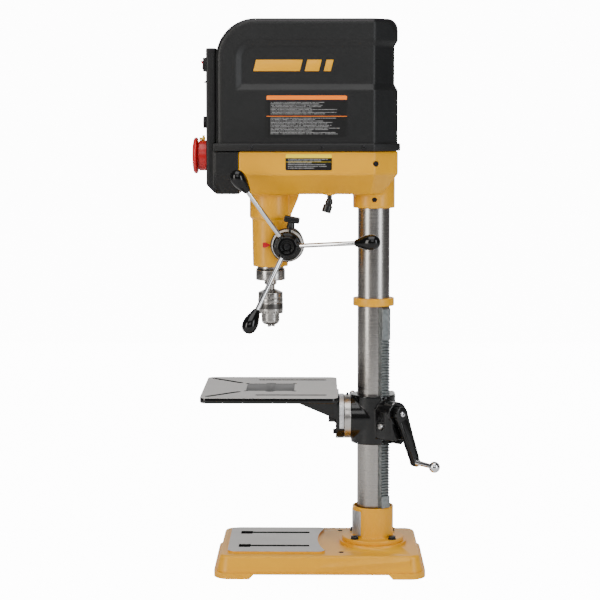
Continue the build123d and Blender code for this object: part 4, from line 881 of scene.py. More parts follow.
def prism(outline: Profile, depth: float, turn: Matrix | None = None,
          origin: Sequence[float] = (0, 0, 0)) -> Shape:
    """Extrude a flat outline.

    Args:
        outline: its (x, y) corners.
        depth: height of the prism, along +Z before the turn.
        turn: turn to apply.
        origin: place of the outline's origin.

    Returns:
        The mesh.
    """
    shape = bmesh.new()
    face = shape.faces.new([shape.verts.new((x, y, 0.0)) for x, y in outline])
    top = new_verts(bmesh.ops.extrude_face_region(shape, geom=[face]))
    bmesh.ops.translate(shape, vec=(0, 0, depth), verts=top)
    matrix = Matrix.Translation(origin) @ (turn or Matrix.Identity(4))
    bmesh.ops.transform(shape, matrix=matrix, verts=shape.verts)
    bmesh.ops.recalc_face_normals(shape, faces=shape.faces)
    return shape


def new_verts(made: dict) -> list[bmesh.types.BMVert]:
    """Vertices that an extrusion made."""
    return [item for item in made["geom"] if isinstance(item, bmesh.types.BMVert)]


def bridge(shape: Shape, first: Sequence, second: Sequence) -> None:
    """Put faces between two closed rows with the same number of vertices.

    Args:
        shape: the mesh.
        first: vertices of one row.
        second: vertices of the other.
    """
    for k in range(len(first)):
        m = (k + 1) % len(first)
        shape.faces.new((first[k], first[m], second[m], second[k]))


def pull_rim(shape: Shape) -> list[bmesh.types.BMVert]:
    """Extrude an open mesh's boundary and hand out the new vertices."""
    rim = [edge for edge in shape.edges if edge.is_boundary]
    return new_verts(bmesh.ops.extrude_edge_only(shape, edges=rim))


def ease_edges(shape: Shape, width: float, segments: int = 3, angle: float = 25.0) -> None:
    """Bevel every edge that is sharper than an angle.

    Args:
        shape: the mesh.
        width: bevel width.
        segments: rows of faces on the bevel.
        angle: smallest angle between its faces, in degrees.
    """
    limit = math.radians(angle)
    sharp = [edge for edge in shape.edges if len(edge.link_faces) == 2 and edge.calc_face_angle(0.0) > limit]
    bmesh.ops.bevel(shape, geom=sharp, offset=width, offset_type="OFFSET", segments=segments, profile=0.5,
                    affect="EDGES", clamp_overlap=True, material=-1)


def rounded_box(low: Sequence[float], high: Sequence[float], width: float, segments: int = 3) -> Shape:
    """Box with eased edges.

    Args:
        low: its lowest corner.
        high: its highest corner.
        width: edge rounding.
        segments: rows of faces on the rounding.

    Returns:
        The mesh.
    """
    shape = bmesh.new()
    bmesh.ops.create_cube(shape, size=1.0)
    a, b = Vector(low), Vector(high)
    bmesh.ops.scale(shape, vec=b - a, verts=shape.verts)
    bmesh.ops.translate(shape, vec=(a + b) / 2, verts=shape.verts)
    ease_edges(shape, width, segments)
    return shape


def joined(parts: Sequence[Shape]) -> Shape:
    """Join meshes into the first one.

    Args:
        parts: the meshes; all but the first are freed.

    Returns:
        The first mesh with all of them in it.
    """
    first = parts[0]
    for other in parts[1:]:
        holder = bpy.data.meshes.new("holder")
        other.to_mesh(holder)
        other.free()
        first.from_mesh(holder)
        bpy.data.meshes.remove(holder)
    return first


def node_copy(node: str) -> Shape:
    """Merged copy of a CAD node's mesh in millimetres.

    Args:
        node: the CAD node.

    Returns:
        The copy.
    """
    shape = bmesh.new()
    shape.from_mesh(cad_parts[node].data)
    bmesh.ops.scale(shape, vec=(1 / MM,) * 3, verts=shape.verts)
    bmesh.ops.remove_doubles(shape, verts=shape.verts, dist=0.002)
    for face in shape.faces:
        face.material_index = 0
    return shape


def cast_copy(node: str, cell: float, rounds: int) -> Shape:
    """Copy of a CAD casting with the soft edges and fillets of a real casting.

    Args:
        node: the CAD node.
        cell: mesh cell in millimetres.
        rounds: smoothing passes.

    Returns:
        The mesh.
    """
    shape = node_copy(node)
    mesh = bpy.data.meshes.new("casting")
    shape.to_mesh(mesh)
    shape.free()
    holder = bpy.data.objects.new("casting", mesh)
    bpy.context.scene.collection.objects.link(holder)
    remesh = holder.modifiers.new("remesh", "REMESH")
    remesh.mode = "VOXEL"
    remesh.voxel_size = cell
    smooth = holder.modifiers.new("smooth", "SMOOTH")
    smooth.factor = 0.5
    smooth.iterations = rounds
    graph = bpy.context.evaluated_depsgraph_get()
    soft = bmesh.new()
    soft.from_mesh(holder.evaluated_get(graph).to_mesh())
    bpy.data.objects.remove(holder)
    bpy.data.meshes.remove(mesh)
    return soft


def eased_copy(node: str, width: float, segments: int = 2) -> Shape:
    """Copy of a CAD node with its flat faces joined and its edges eased.

    Args:
        node: the CAD node.
        width: bevel width.
        segments: rows of faces on the bevel.

    Returns:
        The mesh.
    """
    shape = node_copy(node)
    bmesh.ops.dissolve_limit(shape, angle_limit=math.radians(1.0), verts=shape.verts, edges=shape.edges)
    ease_edges(shape, width, segments, angle=40.0)
    return shape


def eased_piece(name: str, node: str, width: float, finish, body: str) -> bpy.types.Object:
    """Make a piece from a CAD node, with its edges eased, in that node's place.

    Args:
        name: the piece's name.
        node: the CAD node.
        width: bevel width.
        finish: its finish.
        body: body that it rides on.

    Returns:
        The object.
    """
    return finish_piece(name, eased_copy(node, width), finish, body, [node])


def top_faces(node: str, height: float) -> Shape:
    """Faces of a CAD node's flat top.

    Args:
        node: the CAD node.
        height: level of the flat top.

    Returns:
        The open sheet.
    """
    shape = node_copy(node)
    away = [face for face in shape.faces
            if face.normal.z < 0.9 or abs(face.calc_center_median().z - height) > 0.05]
    bmesh.ops.delete(shape, geom=away, context="FACES")
    return shape


def top_sheet(node: str, height: float, thick: float, lift: float) -> Shape:
    """Thin sheet cut from a CAD node's flat top, with every slot in it.

    Args:
        node: the CAD node.
        height: level of the flat top.
        thick: the sheet's thickness.
        lift: how far it stands above that level.

    Returns:
        The mesh.
    """
    shape = top_faces(node, height)
    bmesh.ops.dissolve_limit(shape, angle_limit=0.02, verts=shape.verts, edges=shape.edges)
    lower = new_verts(bmesh.ops.extrude_face_region(shape, geom=list(shape.faces)))
    bmesh.ops.translate(shape, vec=(0, 0, -thick), verts=lower)
    bmesh.ops.translate(shape, vec=(0, 0, lift), verts=shape.verts)
    bmesh.ops.recalc_face_normals(shape, faces=shape.faces)
    return shape


def lofted(rows: Sequence[Sequence[Point]]) -> Shape:
    """Closed skin over a row of sections that have the same number of points.

    Args:
        rows: the sections.

    Returns:
        The mesh.
    """
    shape = bmesh.new()
    rings = [[shape.verts.new(point) for point in row] for row in rows]
    for first, second in zip(rings, rings[1:]):
        bridge(shape, first, second)
    shape.faces.new(rings[0])
    shape.faces.new(list(reversed(rings[-1])))
    bmesh.ops.recalc_face_normals(shape, faces=shape.faces)
    return shape


def edge_loops(shape: Shape) -> list[list[Vector]]:
    """Boundary loops of an open sheet.

    Args:
        shape: the sheet.

    Returns:
        Each loop's points in order.
    """
    left = {edge for edge in shape.edges if edge.is_boundary}
    loops = []
    while left:
        edge = left.pop()
        start, vert = edge.verts
        loop = [start.co.copy()]
        while vert != start:
            loop.append(vert.co.copy())
            following = [item for item in vert.link_edges if item in left]
            if not following:
                break
            left.discard(following[0])
            vert = following[0].other_vert(vert)
        loops.append(loop)
    return loops


def slot_shade_liners(node: str, height: float, deep: float, wall: float) -> Shape:
    """Thin dark walls that line the slots in a CAD node's flat top: painted shade for the shadow down inside
    the slots.

    Args:
        node: the CAD node.
        height: level of the flat top.
        deep: depth of the walls.
        wall: their thickness.

    Returns:
        The mesh.
    """
    sheet = top_faces(node, height)
    loops = edge_loops(sheet)
    sheet.free()
    spans = [max(point.x for point in loop) - min(point.x for point in loop) for loop in loops]
    widest = max(spans)
    parts = []
    for loop, span in zip(loops, spans):
        if span == widest or len(loop) < 3:
            continue
        count = len(loop)
        area = sum(a.x * b.y - b.x * a.y for a, b in zip(loop, loop[1:] + loop[:1]))
        turn = 1.0 if area > 0 else -1.0
        rows: list[list[Point]] = []
        for k in range(count):
            ahead = (loop[(k + 1) % count] - loop[k]).normalized()
            behind = (loop[k] - loop[k - 1]).normalized()
            inward = turn * (Vector((-ahead.y, ahead.x, 0)) + Vector((-behind.y, behind.x, 0))).normalized()
            inner = loop[k] + inward * wall
            outer = loop[k] - inward * 0.05
            top, foot = height - 0.12, height - deep
            rows.append([(outer.x, outer.y, top), (inner.x, inner.y, top), (inner.x, inner.y, foot),
                         (outer.x, outer.y, foot)])
        shape = bmesh.new()
        rings = [[shape.verts.new(point) for point in row] for row in rows]
        for first, second in zip(rings, rings[1:] + rings[:1]):
            bridge(shape, first, second)
        bmesh.ops.recalc_face_normals(shape, faces=shape.faces)
        parts.append(shape)
    return joined(parts)


def fluted(radius: float, depth: float, lobes: int, height: float, turn: Matrix,
           origin: Sequence[float]) -> Shape:
    """Knob body with flutes around it.

    Args:
        radius: outer radius.
        depth: depth of the flutes.
        lobes: number of flutes.
        height: its height along the turned +Z.
        turn: matrix that takes +Z to its axis.
        origin: centre of its foot.

    Returns:
        The mesh.
    """
    points = []
    for index in range(lobes * 8):
        wave = 0.5 + 0.5 * math.cos(2 * math.pi * index / 8)
        r = radius - depth * (1 - wave ** 0.6)
        a = 2 * math.pi * index / (lobes * 8)
        points.append((r * math.cos(a), r * math.sin(a)))
    shape = prism(points, height, turn, origin)
    rims = [edge for edge in shape.edges if any(len(face.verts) > 8 for face in edge.link_faces)]
    bmesh.ops.bevel(shape, geom=rims, offset=min(0.8, depth), offset_type="OFFSET", segments=2, profile=0.5,
                    affect="EDGES", clamp_overlap=True, material=-1)
    return shape


def hex_head(across: float, height: float, turn: Matrix, origin: Sequence[float]) -> Shape:
    """Hexagon bolt head with a chamfered crown and a washer face.

    Args:
        across: width across flats.
        height: head height.
        turn: matrix that takes +Z to the bolt's outward axis.
        origin: centre of its seat.

    Returns:
        The mesh.
    """
    corner = across / math.sqrt(3)
    outline = [(corner * math.cos(math.radians(60 * k)),
                corner * math.sin(math.radians(60 * k))) for k in range(6)]
    head = prism(outline, height - 0.8, turn, Matrix.Translation(origin) @ turn @ Vector((0, 0, 0.8)))
    ease_edges(head, 0.7, 2)
    crown = lathe([(0, height + 0.25), (across * 0.42, height + 0.25), (across * 0.47, height - 0.2)],
                                 0.3, turn, origin, 32)
    seat = lathe([(0, 0), (corner * 1.02, 0), (corner * 1.02, 0.9), (0, 0.9)], 0.2, turn, origin, 32)
    return joined([head, crown, seat])


def socket_head(radius: float, height: float, key: float, turn: Matrix, origin: Sequence[float]) -> Shape:
    """Round screw head with a hexagon socket.

    Args:
        radius: head radius.
        height: head height.
        key: socket radius at its corners.
        turn: matrix that takes +Z to the screw's outward axis.
        origin: centre of its seat.

    Returns:
        The mesh.
    """
    sides = 36
    shape = bmesh.new()
    bmesh.ops.create_circle(shape, cap_ends=True, segments=sides, radius=radius)
    top = new_verts(bmesh.ops.extrude_face_region(shape, geom=list(shape.faces)))
    bmesh.ops.translate(shape, vec=(0, 0, height), verts=top)
    lid = max(shape.faces, key=lambda face: face.calc_center_median().z)
    bmesh.ops.inset_region(shape, faces=[lid], thickness=radius - key)
    hub = [face for face in shape.faces
           if len(face.verts) == sides and abs(face.calc_center_median().z - height) < 0.01]
    floor = new_verts(bmesh.ops.extrude_face_region(shape, geom=hub[:1]))
    bmesh.ops.translate(shape, vec=(0, 0, -height * 0.6), verts=floor)
    bmesh.ops.delete(shape, geom=hub[:1], context="FACES_ONLY")
    bmesh.ops.transform(shape, matrix=Matrix.Translation(origin) @ turn, verts=shape.verts)
    bmesh.ops.recalc_face_normals(shape, faces=shape.faces)
    return shape


# ======================================================================================
# Sub-assemblies
# ======================================================================================
@dataclass
class Stand:
    """Cast base, column socket, column, rack and rack ring."""

    deck: float = 48.0
    pad_top: float = 52.7
    pad_drop: float = 0.7
    ridge_height: float = 4.0
    ridge_start: float = -125.0
    ridge_tail: float = 34.0
    wall_foot: float = 140.0
    rim_top: float = 13.0
    bolt_x: float = 98.0
    bolt_y: float = -71.0
    draft: float = 14.0

    def build(self) -> None:
        """Build and dress every piece."""
        self.build_casting()
        pad = top_sheet("base", self.pad_top, self.pad_drop - 0.05, 0.0)
        finish_piece("base_pad", pad, GROUND_TOP, "frame")
        # Dark liners in the pad slots: painted shade inside the slots, where the gold casting would
        # otherwise show.
        finish_piece("base_slot_shade_liners", slot_shade_liners("base", self.pad_top, 26.0, 0.5), OXIDE_AND_SHADE, "frame")
        self.build_socket()
        self.build_column()

    def build_casting(self) -> None:
        """Casting with soft edges, a lowered pad seat and a raised shoulder along each rear side."""
        casting = eased_copy("base", 1.3, 3)
        for vert in casting.verts:
            if vert.co.z > self.pad_top - 0.3 and vert.co.y < -90:
                vert.co.z -= self.pad_drop
        # Dark tubes lining the bench bolt holes: painted shade inside the holes.
        foot, top = self.deck - 8, self.deck + 0.12
        holes = [spun([(5.2, foot), (5.2, top), (6.0, top), (6.0, foot), (5.2, foot)], Axis.Z.value,
                      (side * self.bolt_x, self.bolt_y, 0), 32) for side in (-1, 1)]
        finish_piece("bench_hole_shade_liners", joined(holes), OXIDE_AND_SHADE, "frame")
        ridges = [self.side_ridge(side) for side in (-1, 1)]
        finish_piece("base_casting", joined([casting] + ridges), GOLD, "frame", ["base"])

    def side_ridge(self, side: int) -> Shape:
        """Raised swoosh that climbs along the rear of one side.

        Args:
            side: -1 or 1.

        Returns:
            The mesh.
        """
        rear = node_box("base")[1].y - self.ridge_tail
        steps = 40
        rows = []
        for step in range(steps + 1):
            run = step / steps
            y = self.ridge_start + (rear - self.ridge_start) * run
            line = 21.0 + 17.0 * run ** 0.8
            grow = self.ridge_height * math.sin(min(1.0, run * 1.6) * math.pi / 2)
            section = ((max(line - 15.0, self.rim_top + 1.0), -0.6), (line - 6.0, 0.25 * grow),
                       (line - 1.5, 0.9 * grow), (line, grow), (line + 1.5, 0.86 * grow),
                       (min(line + 11.0, self.deck - 2.0), -0.6), (line, -4.0))
            rows.append([(side * (self.wall(z) + out), y, z) for z, out in section])
        return lofted(rows)

    def wall(self, z: float) -> float:
        """Half width of the side wall at a height."""
        return self.wall_foot - (z - self.rim_top) * math.tan(math.radians(self.draft))

    def build_socket(self) -> None:
        """Socket, its bolts, the blank plate and the rack ring."""
        finish_piece("socket_casting", cast_copy("column_socket", 1.2, 3), GOLD, "frame",
                     ["column_socket"], sharp=60)
        low, high = node_box("socket_bolts")
        head = 16.3 / math.sqrt(3)
        seat = high.z - 7.0
        heads = [hex_head(15.6, 6.6, Axis.Z.value, (x, y, seat + 0.1))
                 for x in (low.x + head, high.x - head) for y in (low.y + 8.1, high.y - 8.1)]
        finish_piece("socket_bolt_heads", joined(heads), OXIDE_AND_SHADE, "frame", ["socket_bolts"])
        dress("maker_plate", ALUMINIUM)
        low, high = node_box("rack_ring")
        radius = high.x
        bore = node_box("column")[1].x + 0.05
        tall = high.z - low.z
        turned_piece("rack_ring_body",
                     [(bore, 9.0), (bore + 5.8, 8.0), (bore + 5.8, 0), (radius, 0), (radius, tall),
                      (bore, tall),
                      (bore, 9.0)], Axis.Z.value, (0, 0, low.z), GOLD, "frame", ["rack_ring"],
                     radius=1.6, steps=96)

    def build_column(self) -> None:
        """Ground column with chamfered ends, and the rack."""
        low, high = node_box("column")
        r, tall = high.x, high.z - low.z
        turned_piece("column_tube", [(r - 5, 0), (r, 0), (r, tall), (r - 5, tall), (r - 5, 0)], Axis.Z.value,
                     (0, 0, low.z), GROUND_COLUMN, "frame", ["column"], radius=1.2, steps=128)
        finish_piece("rack_bar", eased_copy("rack", 0.35, 1), ZINC, "rack", ["rack"], sharp=20)


@dataclass
class Bracket:
    """Table bracket that slides on the column, with its lift crank and lock."""

    arm_z: float = 328.5
    ring_back: float = -49.5
    ring_front: float = -64.0
    ring_radius: float = 48.2
    worm_z: float = 347.0
    rack_angle: float = 35.0
    crank_face: float = 89.4
    crank_length: float = 117.0
    crank_lean: float = 20.2
    lock_ball: float = 7.5
    lock_bar_radius: float = 4.0
    lock_bar_x: float = -76.0

    def along(self, radial: float, across: float = 0.0, z: float = 0.0) -> Vector:
        """Point given along and across the rack's direction.

        Args:
            radial: distance from the column's axis.
            across: distance across it.
            z: height.

        Returns:
            The point.
        """
        a = math.radians(self.rack_angle)
        return Vector((radial * math.cos(a) - across * math.sin(a),
                       radial * math.sin(a) + across * math.cos(a), z))

    def build(self) -> None:
        """Build and dress every piece."""
        casting = cast_copy("table_bracket", 1.5, 5)
        for vert in casting.verts:
            if vert.co.y < self.ring_back - 0.5:
                reach = Vector((vert.co.x, vert.co.z - self.arm_z))
                if reach.length > self.ring_radius - 3:
                    reach *= (self.ring_radius - 1.0) / reach.length
                    vert.co.x, vert.co.z = reach.x, self.arm_z + reach.y
        finish_piece("bracket_casting", casting, BLACK, "bracket", ["table_bracket"],
                     sharp=60)
        depth = self.ring_back - self.ring_front
        turned_piece("tilt_ring", [(20, depth), (20, 0.2), (self.ring_radius, 0.2),
                                   (self.ring_radius, depth - 0.2),
                                   (20, depth)], Axis.Y.value, (0, self.ring_front, self.arm_z), TURNED_Y,
                     "bracket", radius=0.7, steps=96)
        pin = lathe([(0, 5), (2.2, 5), (2.6, 3.4), (2.6, 0), (0, 0)], 0.5, Axis.Z.value,
                   (0, (self.ring_back + self.ring_front) / 2, self.arm_z + self.ring_radius - 0.6), 24)
        finish_piece("tilt_index_pin", pin, OXIDE_AND_SHADE, "bracket")
        self.build_fasteners()
        self.build_crank()
        self.build_lock()

    def build_fasteners(self) -> None:
        """Swing lock bolt, gear axle and a grease screw."""
        eased_piece("swing_bolt", "swing_lock_bolt", 0.5, OXIDE_AND_SHADE, "bracket")
        eased_piece("gear_axle", "lift_gear_axle", 0.5, TURNED_X, "bracket")
        dress("lift_gear", TURNED_X)
        screw = socket_head(4.2, 2.6, 1.9, toward(self.along(1)), self.along(86, -10, self.worm_z + 19))
        finish_piece("gear_cover_screw", screw, TURNED_X, "bracket")

    def crank_foot(self) -> tuple[float, float]:
        """Offset across and height of the handle's end of the crank."""
        a = math.radians(self.crank_lean)
        return self.crank_length * math.sin(a), self.worm_z - self.crank_length * math.cos(a)

    def build_crank(self) -> None:
        """Crank arm with hollowed sides, its screw and the ball handle."""
        out = self.along(1)
        across, low = self.crank_foot()
        down = (self.along(0, across) + Vector((0, 0, low - self.worm_z))).normalized()
        side = down.cross(out).normalized()
        basis = Matrix((side, down, out)).transposed().to_4x4()
        origin = self.along(self.crank_face + 3.2, 0, self.worm_z)
        outline = []
        for centre, radius, first, last in ((0.0, 15.0, 0.0, -180.0), (self.crank_length, 9.5, 180.0, 0.0)):
            for step in range(13):
                a = math.radians(first + (last - first) * step / 12)
                outline.append((radius * math.cos(a), centre + radius * math.sin(a)))
        arm = prism(outline, 12.6, basis, origin)
        ease_edges(arm, 1.8, 3)
        boss = lathe([(0, 0.4), (15.5, 0.4), (15.5, 15), (13.4, 16), (0, 16)], 1.5, toward(out),
                    self.along(self.crank_face, 0, self.worm_z), 48)
        rails = []
        for sign in (-1, 1):
            rail = [(sign * 7.2, 16.0), (sign * 11.6, 14.0), (sign * 8.6, self.crank_length - 8),
                    (sign * 5.2, self.crank_length - 10)]
            rails.append(prism(rail, 15.4, basis, origin))
            ease_edges(rails[-1], 1.2, 2)
        end = lathe([(0, 1), (9.8, 1), (9.8, 15.5), (0, 15.5)], 1.4, toward(out),
                   self.along(self.crank_face + 1, across, low), 40)
        finish_piece("crank_arm", joined([arm, boss, end] + rails), BLACK, "crank",
                     ["lift_crank"])
        screw = lathe([(0, 3.4), (3.2, 3.4), (5.8, 2.2), (5.8, 0), (0, 0)], 0.8, toward(out),
                     self.along(self.crank_face + 16, 0, self.worm_z), 40)
        # Dark hexagon on the screw's face: painted shade standing in for the hex socket recess.
        mark = lathe([(0, 0.4), (1.8, 0.4), (1.8, 0)], 0.1, toward(out),
                    self.along(self.crank_face + 19.3, 0, self.worm_z), 6)
        finish_piece("crank_end_screw", screw, CHROME, "crank", ["crank_screw"])
        finish_piece("crank_screw_socket_shade", mark, OXIDE_AND_SHADE, "crank")
        ball = 12.2
        stem = 72.0 - 2 * ball
        profile = [(0, 0), (5.2, 0), (7.0, 1.0), (7.0, 3.0), (5.6, 4.5), (4.9, stem + 1.5)]
        for step in range(1, 17):
            a = math.radians(155 - 155 * step / 16)
            profile.append((ball * math.sin(a), stem + ball - ball * math.cos(math.pi - a)))
        handle = spun(profile, toward(out), self.along(self.crank_face + 16, across, low), 48)
        finish_piece("crank_ball_handle", handle, CHROME, "crank", ["crank_handle"], sharp=50)
        dress("worm_shaft", TURNED_X)

    def build_lock(self) -> None:
        """Column lock: screw and sliding bar with two balls."""
        low, high = node_box("column_lock")
        z = (low.z + high.z) / 2
        half = high.y
        ball = self.lock_ball
        profile = [(0, -half)]
        for degrees in range(165, 32, -15):
            a = math.radians(degrees)
            profile.append((ball * math.sin(a), -half + ball + ball * math.cos(a)))
        profile.append((self.lock_bar_radius, -half + 2 * ball - 1.2))
        mirrored = [(radius, -height) for radius, height in reversed(profile)]
        bar = spun(profile + mirrored, Axis.Y.value, (self.lock_bar_x, 0, z), 32)
        screw = lathe([(0, 0), (10, 0), (10, 15.5), (8, 17.5), (0, 17.5)], 1.2,
                     toward((-1, 0, 0)), (-64.5, 0, z), 40)
        shank = spun([(0, 0), (6, 0), (6, 32), (0, 32)], toward((-1, 0, 0)), (-35.6, 0, z), 32)
        finish_piece("column_lock_handle", joined([bar, screw, shank]), CHROME, "column_lock",
                     ["column_lock"], sharp=50)


@dataclass
class WorkTable:
    """Tilting table, its insert, scale and tilt bolts."""

    top: float = 392.0
    drop: float = 0.6

    def build(self) -> None:
        """Build and dress every piece."""
        casting = eased_copy("table", 0.7)
        for vert in casting.verts:
            if vert.co.z > self.top - 0.3:
                vert.co.z -= self.drop
        finish_piece("table_casting", casting, BLACK, "table", ["table"])
        sheet = top_sheet("table", self.top, 0.55, 0.0)
        finish_piece("table_face", sheet, GROUND_TOP, "table")
        # Dark liners in the table slots: painted shade inside the slots.
        finish_piece("table_slot_shade_liners", slot_shade_liners("table", self.top, 5.0, 0.4), OXIDE_AND_SHADE, "table")
        insert = eased_copy("table_insert", 0.4)
        finish_piece("insert_plate", insert, INSERT_STEEL, "table", ["table_insert"])
        eased_piece("tilt_fasteners", "tilt_bolts", 0.6, OXIDE_AND_SHADE, "table")
        dress("tilt_scale", ScalePrint("tilt_graduations", 328.5))


@dataclass
class BeltCover:
    """Moulded belt cover with its sunk band, base flange and screws."""

    half: float = 119.0
    front: float = -337.0
    back: float = 47.5
    low: float = 912.2
    top: float = 1191.0
    front_radius: float = 84.0
    back_radius: float = 22.0
    edge_radius: float = 11.0
    taper_start: float = -3.5
    taper: float = 46.0
    band_low: float = 1040.6
    band_high: float = 1145.4
    band_front: float = -295.0
    band_slope: float = 12.6
    band_depth: float = 7.0
    band_corner: float = 39.0
    side_steps: int = 112
    flange_grow: float = 6.0
    flange_top: float = 928.5
    lip_x: float = 0.965
    lip_y: float = 0.98
    lip_centre: float = -141.0
    lip_rise: float = 90.0

    def silhouette(self, z: float) -> tuple[float, float]:
        """Front and back of the cover's outline at a height.

        Args:
            z: the height.

        Returns:
            Lowest and highest y.
        """
        front, back = self.front, self.back
        over = z - (self.top - self.front_radius)
        if over > 0:
            front += self.front_radius - math.sqrt(max(self.front_radius ** 2 - over ** 2, 0.0))
        over = z - (self.top - self.back_radius)
        if over > 0:
            back -= self.back_radius - math.sqrt(max(self.back_radius ** 2 - over ** 2, 0.0))
        return front, back

    def edge_distance(self, y: float, z: float) -> float:
        """Distance from a side-view point in to the outline."""
        front_mid = (self.front + self.front_radius, self.top - self.front_radius)
        back_mid = (self.back - self.back_radius, self.top - self.back_radius)
        if y < front_mid[0] and z > front_mid[1]:
            return self.front_radius - math.hypot(y - front_mid[0], z - front_mid[1])
        if y > back_mid[0] and z > back_mid[1]:
            return self.back_radius - math.hypot(y - back_mid[0], z - back_mid[1])
        return min(y - self.front, self.top - z, FAR)

    def sunk(self, y: float, z: float) -> float:
        """Depth of the band at a side-view point.

        Args:
            y: place along the cover.
            z: height.

        Returns:
            Depth below the outer skin.
        """
        radius = self.band_corner
        centre_y, centre_z = self.band_front + radius, self.band_high - radius
        if y < centre_y and z > centre_z:
            inside = radius - math.hypot(y - centre_y, z - centre_z)
        else:
            inside = min(y - self.band_front, z - self.band_low, self.band_high - z, FAR - y)
        return self.band_depth * max(0.0, min(1.0, inside / self.band_slope))

    def half_width(self, y: float, z: float) -> float:
        """Half width of the skin at a side-view point."""
        half = self.half - max(0.0, y - self.taper_start) * self.taper / (self.back - self.taper_start)
        near = max(0.0, self.edge_distance(y, z))
        if near < self.edge_radius:
            half -= self.edge_radius - math.sqrt(self.edge_radius ** 2 - (self.edge_radius - near) ** 2)
        return half - self.sunk(y, z)

    def heights(self) -> list[float]:
        """Heights of the rows, closer where the outline or the band turns."""
        rows = [self.low + (self.top - self.front_radius - self.low) * k / 60 for k in range(60)]
        rows += [self.top - self.front_radius + self.front_radius * math.sin(math.pi / 2 * k / 34)
                 for k in range(35)]
        for line in (self.band_low, self.band_low + self.band_slope, self.band_high,
                     self.band_high - self.band_slope):
            rows = [z for z in rows if abs(z - line) > 1.2] + [line]
        return sorted(rows)

    def ring(self, z: float) -> list[Point]:
        """Points around the cover at a height, from the right front corner backwards.

        Args:
            z: the height.

        Returns:
            The points.
        """
        front, back = self.silhouette(z)
        places = [front + (back - front) * step / self.side_steps for step in range(self.side_steps + 1)]
        side = [(self.half_width(y, z), y) for y in places]
        back_sunk = self.sunk(self.back - 60, z)
        span = self.back - self.taper_start
        side = [(x, y - back_sunk * max(0.0, (y - self.taper_start) / span)) for x, y in side]
        points = [(x, y, z) for x, y in side]
        wide = side[-1][0]
        points += [(wide - 2 * wide * k / 12, side[-1][1], z) for k in range(1, 12)]
        points += [(-x, y, z) for x, y in reversed(side)]
        nose = side[0][0]
        points += [(2 * nose * k / 12 - nose, front, z) for k in range(1, 12)]
        return points

    def build(self) -> None:
        """Build and dress every piece."""
        rows = [self.ring(z) for z in self.heights()]
        around = len(rows[0])
        skin = bmesh.new()
        bmesh.ops.create_grid(skin, x_segments=around, y_segments=len(rows) - 1, size=1.0)
        skin.verts.ensure_lookup_table()
        order = sorted(skin.verts, key=lambda vert: (round(vert.co.y, 5), round(vert.co.x, 5)))
        for index, vert in enumerate(order):
            row, column = divmod(index, around + 1)
            vert.co = Vector(rows[row][column % around])
        bmesh.ops.remove_doubles(skin, verts=skin.verts, dist=0.01)
        rim = [edge for edge in skin.edges if edge.is_boundary and edge.verts[0].co.z > self.top - 1]
        bmesh.ops.holes_fill(skin, edges=rim, sides=0)
        for vert in pull_rim(skin):
            vert.co.x *= self.lip_x
            vert.co.y = (vert.co.y - self.lip_centre) * self.lip_y + self.lip_centre
        bmesh.ops.translate(skin, vec=(0, 0, self.lip_rise), verts=pull_rim(skin))
        finish_piece("cover_shell", skin, COVER_PLASTIC, "frame", ["belt_cover"], sharp=50)
        self.build_flange()
        self.build_screws()
        self.build_stripe()

    def build_flange(self) -> None:
        """Flange around the cover's foot."""
        g = self.flange_grow
        half, front, back = self.half + g, self.front - g, self.back + g
        outline = [(half, front), (half, self.taper_start), (half - self.taper, back),
                   (self.taper - half, back),
                   (-half, self.taper_start), (-half, front)]
        flange = prism(outline, self.flange_top - self.low, None, (0, 0, self.low))
        ease_edges(flange, 2.4, 3)
        finish_piece("cover_flange", flange, COVER_PLASTIC, "frame")

    def build_screws(self) -> None:
        """Flange screws with washers and the small screws on the roof."""
        heads = []
        z = (self.low + self.flange_top) / 2
        for side in (-1, 1):
            for y in (-263.7, -114.0, -25.0):
                turn = toward((side, 0, 0))
                foot = Vector((side * (self.half + self.flange_grow - 0.2), y, z))
                heads.append(lathe([(0, 0), (5.9, 0), (5.9, 0.7), (0, 0.7)], 0.2, turn, foot, 32))
                heads.append(lathe([(1.6, 1.3), (1.8, 2.1), (3.2, 1.9), (4.4, 0.7)], 0.5, turn, foot, 32))
        for y in (-229.0, 9.6):
            for x in (-60.0, 60.0):
                heads.append(lathe([(0, 2.3), (2.0, 2.3), (4.0, 1.2), (4.0, 0), (0, 0)], 0.6,
                                  Axis.Z.value, (x, y, self.top - 0.2), 28))
        finish_piece("cover_screw_heads", joined(heads), OXIDE_AND_SHADE, "frame", ["cover_screws"])

    def build_stripe(self) -> None:
        """Plain raised accent bars in the sunk band of each side."""
        bars = []
        low, high = 1080.0, 1104.0
        lean, thick = 0.25, 1.2
        for start, end in ((-258.0, -160.0), (-150.0, -120.0), (-110.0, -95.0)):
            for side in (-1, 1):
                outline = [(start, low), (end, low), (end + lean * (high - low), high),
                           (start + lean * (high - low), high)]
                x = side * (self.half - self.band_depth)
                bar = prism(outline, thick, SIDE_PLANE, (x - (thick if side < 0 else 0.0), 0, 0))
                ease_edges(bar, 0.4, 2)
                bars.append(bar)
        finish_piece("accent_bars", joined(bars), GOLD, "frame")


